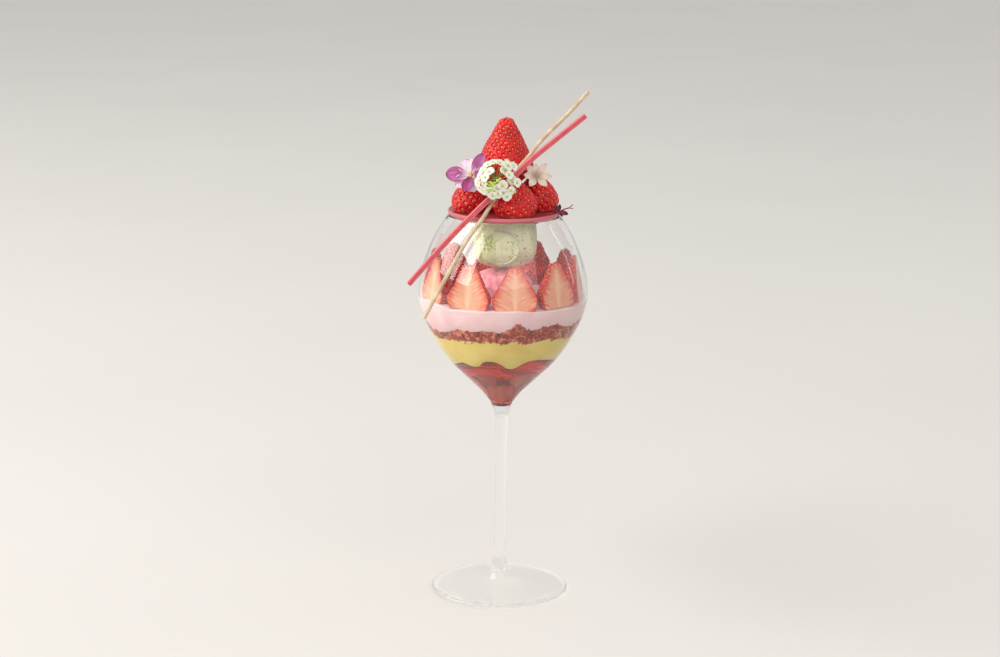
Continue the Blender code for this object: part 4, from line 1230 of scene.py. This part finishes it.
petals = [(angle, 18, {"seed": 30.0 + angle}) for angle in (20, 110, 200, 290)]
floret_shape = flower("floret_shape", petals, (0, 0, 0), (0, 0, 1), 0.2, white_material, length=3.0,
                      width=3.4, pointed=0.0, cup=0.3, curl=-0.5, frill=0.4, rows=8, columns=7)
floret_shape.data = as_plain_mesh(floret_shape)
floret_shape.modifiers.clear()
button_shape = pebble("button_shape", 0.5, (0.62, 0.62, 0.45))
BESIDE_UP = (0.3, 0.1, 1.0)
marks = []
for floret in FLORETS:
    facing = (Vector(floret).normalized() + Vector((0, -0.9, 0.1))).normalized()
    marks.append((HEAD + Vector(floret) + facing * 0.2, facing, BESIDE_UP))
floret_points = marks_object("floret_marks", marks)
bud_points = marks_object("bud_marks", [(HEAD + Vector(bud), (0.2, -0.8, 0.4), BESIDE_UP) for bud in BUDS])
for name, points, scale, vary, seed, shape, finish in (
        ("white_florets", floret_points, 1.0, 0.12, 6, floret_shape, white_material),
        ("floret_middles", floret_points, 1.45, 0.1, 6, button_shape, bud_material),
        ("flower_buds", bud_points, 1.7, 0.5, 2, button_shape, bud_material)):
    grown = grow(name, points, stand, Scale=scale, Vary=vary, Seed=seed, Shape=shape, Material=finish)
    dress(grown, "white_flower", *["flower_head"] * (name == "white_florets"))
drop(floret_points, bud_points)


def tube(start, end, radius, sag, finish):
    """A thin stalk that bows a little between two points."""
    start, end = np.array(start, float), np.array(end, float)
    t = np.linspace(0, 1, 14)[:, None]
    path = start * (1 - t) + end * t + np.array(sag) * 4 * t * (1 - t)
    return loft("stalk", sweep(path, circle(radius, 9), (0.1, -1, 0.2))[0], path[0], path[-1], finish)


def join(name, parts):
    """One object from several."""
    with bpy.context.temp_override(active_object=parts[0], selected_editable_objects=parts):
        bpy.ops.object.join()
    parts[0].name = name
    return parts[0]


stalks = [tube(HEAD, HEAD + Vector(offset) * 0.97, 0.2, (0.3, 0.2, -0.5), green_material)
          for offset in FLORETS + BUDS]
stalks.append(tube(HEAD, STALK_END, 0.7, (0, 0, 0.8), green_material))
knot_radius = 1.1
knot_top = Vector((0, 0, knot_radius))
stalks.append(loft("stalk", ball(10, 16) * knot_radius + tuple(HEAD), HEAD - knot_top, HEAD + knot_top,
                   green_material))
dress(join("green_stalks", stalks), "white_flower")

# %% [markdown]
# A dark red sprig lies at the disc's right edge: a crumpled young leaf with one thin stalk that forks.

# %% Red sprig
SPRIG = (30.8, -15.6, 226.6)
FORK = (36.4, -14.8, 228.6)
LEAVES = [
    # direction, lift, length, width
    (148, 25, 4.6, 2.0), (205, 10, 4.4, 2.2), (292, 20, 4.6, 2.0), (335, 5, 5.4, 3.0), (84, 30, 4.4, 1.8),
    (118, 5, 3.6, 1.6)]
SPRIG_STALKS = [
    # start, end, radius, how far it bows
    ((31.0, -15.8, 226.6), FORK, 0.38, 0.3), (FORK, (38.6, -14.6, 230.6), 0.26, 0.0),
    (FORK, (38.8, -15.0, 228.3), 0.24, 0.0), ((30.8, -16.0, 226.4), (30.4, -17.6, 222.9), 0.24, 0.0)]

# The leaf is dark red, darker towards its tips, with paler veins.
sprig_material = petal_material("dark_red_leaf", "#8E2C4C", "#5C1432", "#B4607A", 0.6, 0.45)
leaves = [(direction, lift, {"length": length, "width": width, "seed": 40.0 + direction / 9})
          for direction, lift, length, width in LEAVES]
sprig = flower("red_leaf", leaves, SPRIG, (0.1, -0.85, 0.5), 0.3, sprig_material, pointed=0.45, cup=0.9,
               curl=1.2, frill=1.8)
dress(sprig, "red_leaf", "red_sprig")
stalks = [tube(start, end, radius, (0, 0, sag), sprig_material) for start, end, radius, sag in SPRIG_STALKS]
dress(join("red_stalk", stalks), "red_leaf")

# %% [markdown]
# ## Fruit in the jelly
# Halved strawberries are sunk at the bottom of the jelly, most with the cut face out and some with the
# skin out, tips down in the point of the bowl. They lie wholly inside, so they have no solid of their
# own. They are small lofts in the same two finishes, laid along the slope of the glass.

# %% Sunk fruit
SUNK_FRUIT = [
    # direction round the glass, lowest, highest, half width, distance from the wall, skin side out
    (-3, 112.4, 126.8, 9.4, 0.5, False), (-64, 117.0, 131.5, 8.0, 0.7, False),
    (-24, 126.0, 134.4, 7.6, 2.4, True), (31, 125.0, 134.6, 9.0, 1.8, False),
    (66, 114.0, 127.0, 8.0, 1.0, True), (104, 117.0, 131.0, 8.6, 0.9, False),
    (158, 113.0, 128.0, 8.6, 0.9, False), (203, 120.0, 133.0, 8.6, 1.2, True),
    (252, 115.0, 129.0, 8.4, 0.8, False)]
SUNK_SKIN, SUNK_FACE = 26, 22
rises = np.linspace(0.01, 0.99, 34)[:, None]
theta = np.linspace(0, math.pi, SUNK_SKIN)
across = np.linspace(-1, 1, SUNK_FACE + 2)[1:-1]
sunk = []
for order, (azimuth, low, high, half_width, away, skin_out) in enumerate(SUNK_FRUIT):
    reach = half_width * np.sin(math.pi * (rises * 0.86 + 0.02)) ** 0.55 * (0.45 + 0.55 * rises)
    x = np.hstack([reach * np.cos(theta), reach * across])
    y = np.hstack([reach * np.sin(theta) * 0.6, 0 * reach * across])
    z = low + rises * (high - low) + 0 * x
    room = np.maximum(inside(np.clip(z, 111.6, 150.0)) - away, 1.2)
    side = np.clip(x, -room * 0.93, room * 0.93)
    ahead = np.maximum(np.sqrt(np.maximum(room ** 2 - side ** 2, 0.04)) - y, -room * 0.3)
    rings = round_glass(math.radians(azimuth), ahead, side, z)
    nothing = 0 * x
    margin = np.minimum(reach * (1 - np.abs(across)), (1 - rises) * (high - low) * 0.8)
    core = np.clip(1 - np.abs(across) * reach / 2.4, 0, 1)
    fans = np.stack([z - 0.9 * np.abs(x), np.abs(x) * 0.16, nothing + order], axis=-1)
    sunk.append(half_fruit(
        "sunk_half", rings, rings[0].mean(axis=0), rings[-1].mean(axis=0), SUNK_SKIN, False, not skin_out,
        edge=(3, beside(SUNK_SKIN, margin), 3), core=(1, beside(SUNK_SKIN, core), 1), pit=(0, nothing, 0),
        collar=(0, nothing, 0), rise=(1, nothing + 1, 1), fan=((0, 0, 0), fans, (0, 0, 0))))
dress(join("sunk_strawberries", sunk), "cut_berry")

# %% Finish
drop(crumb_shape, seed_shape, nut_shape, floret_shape, button_shape)
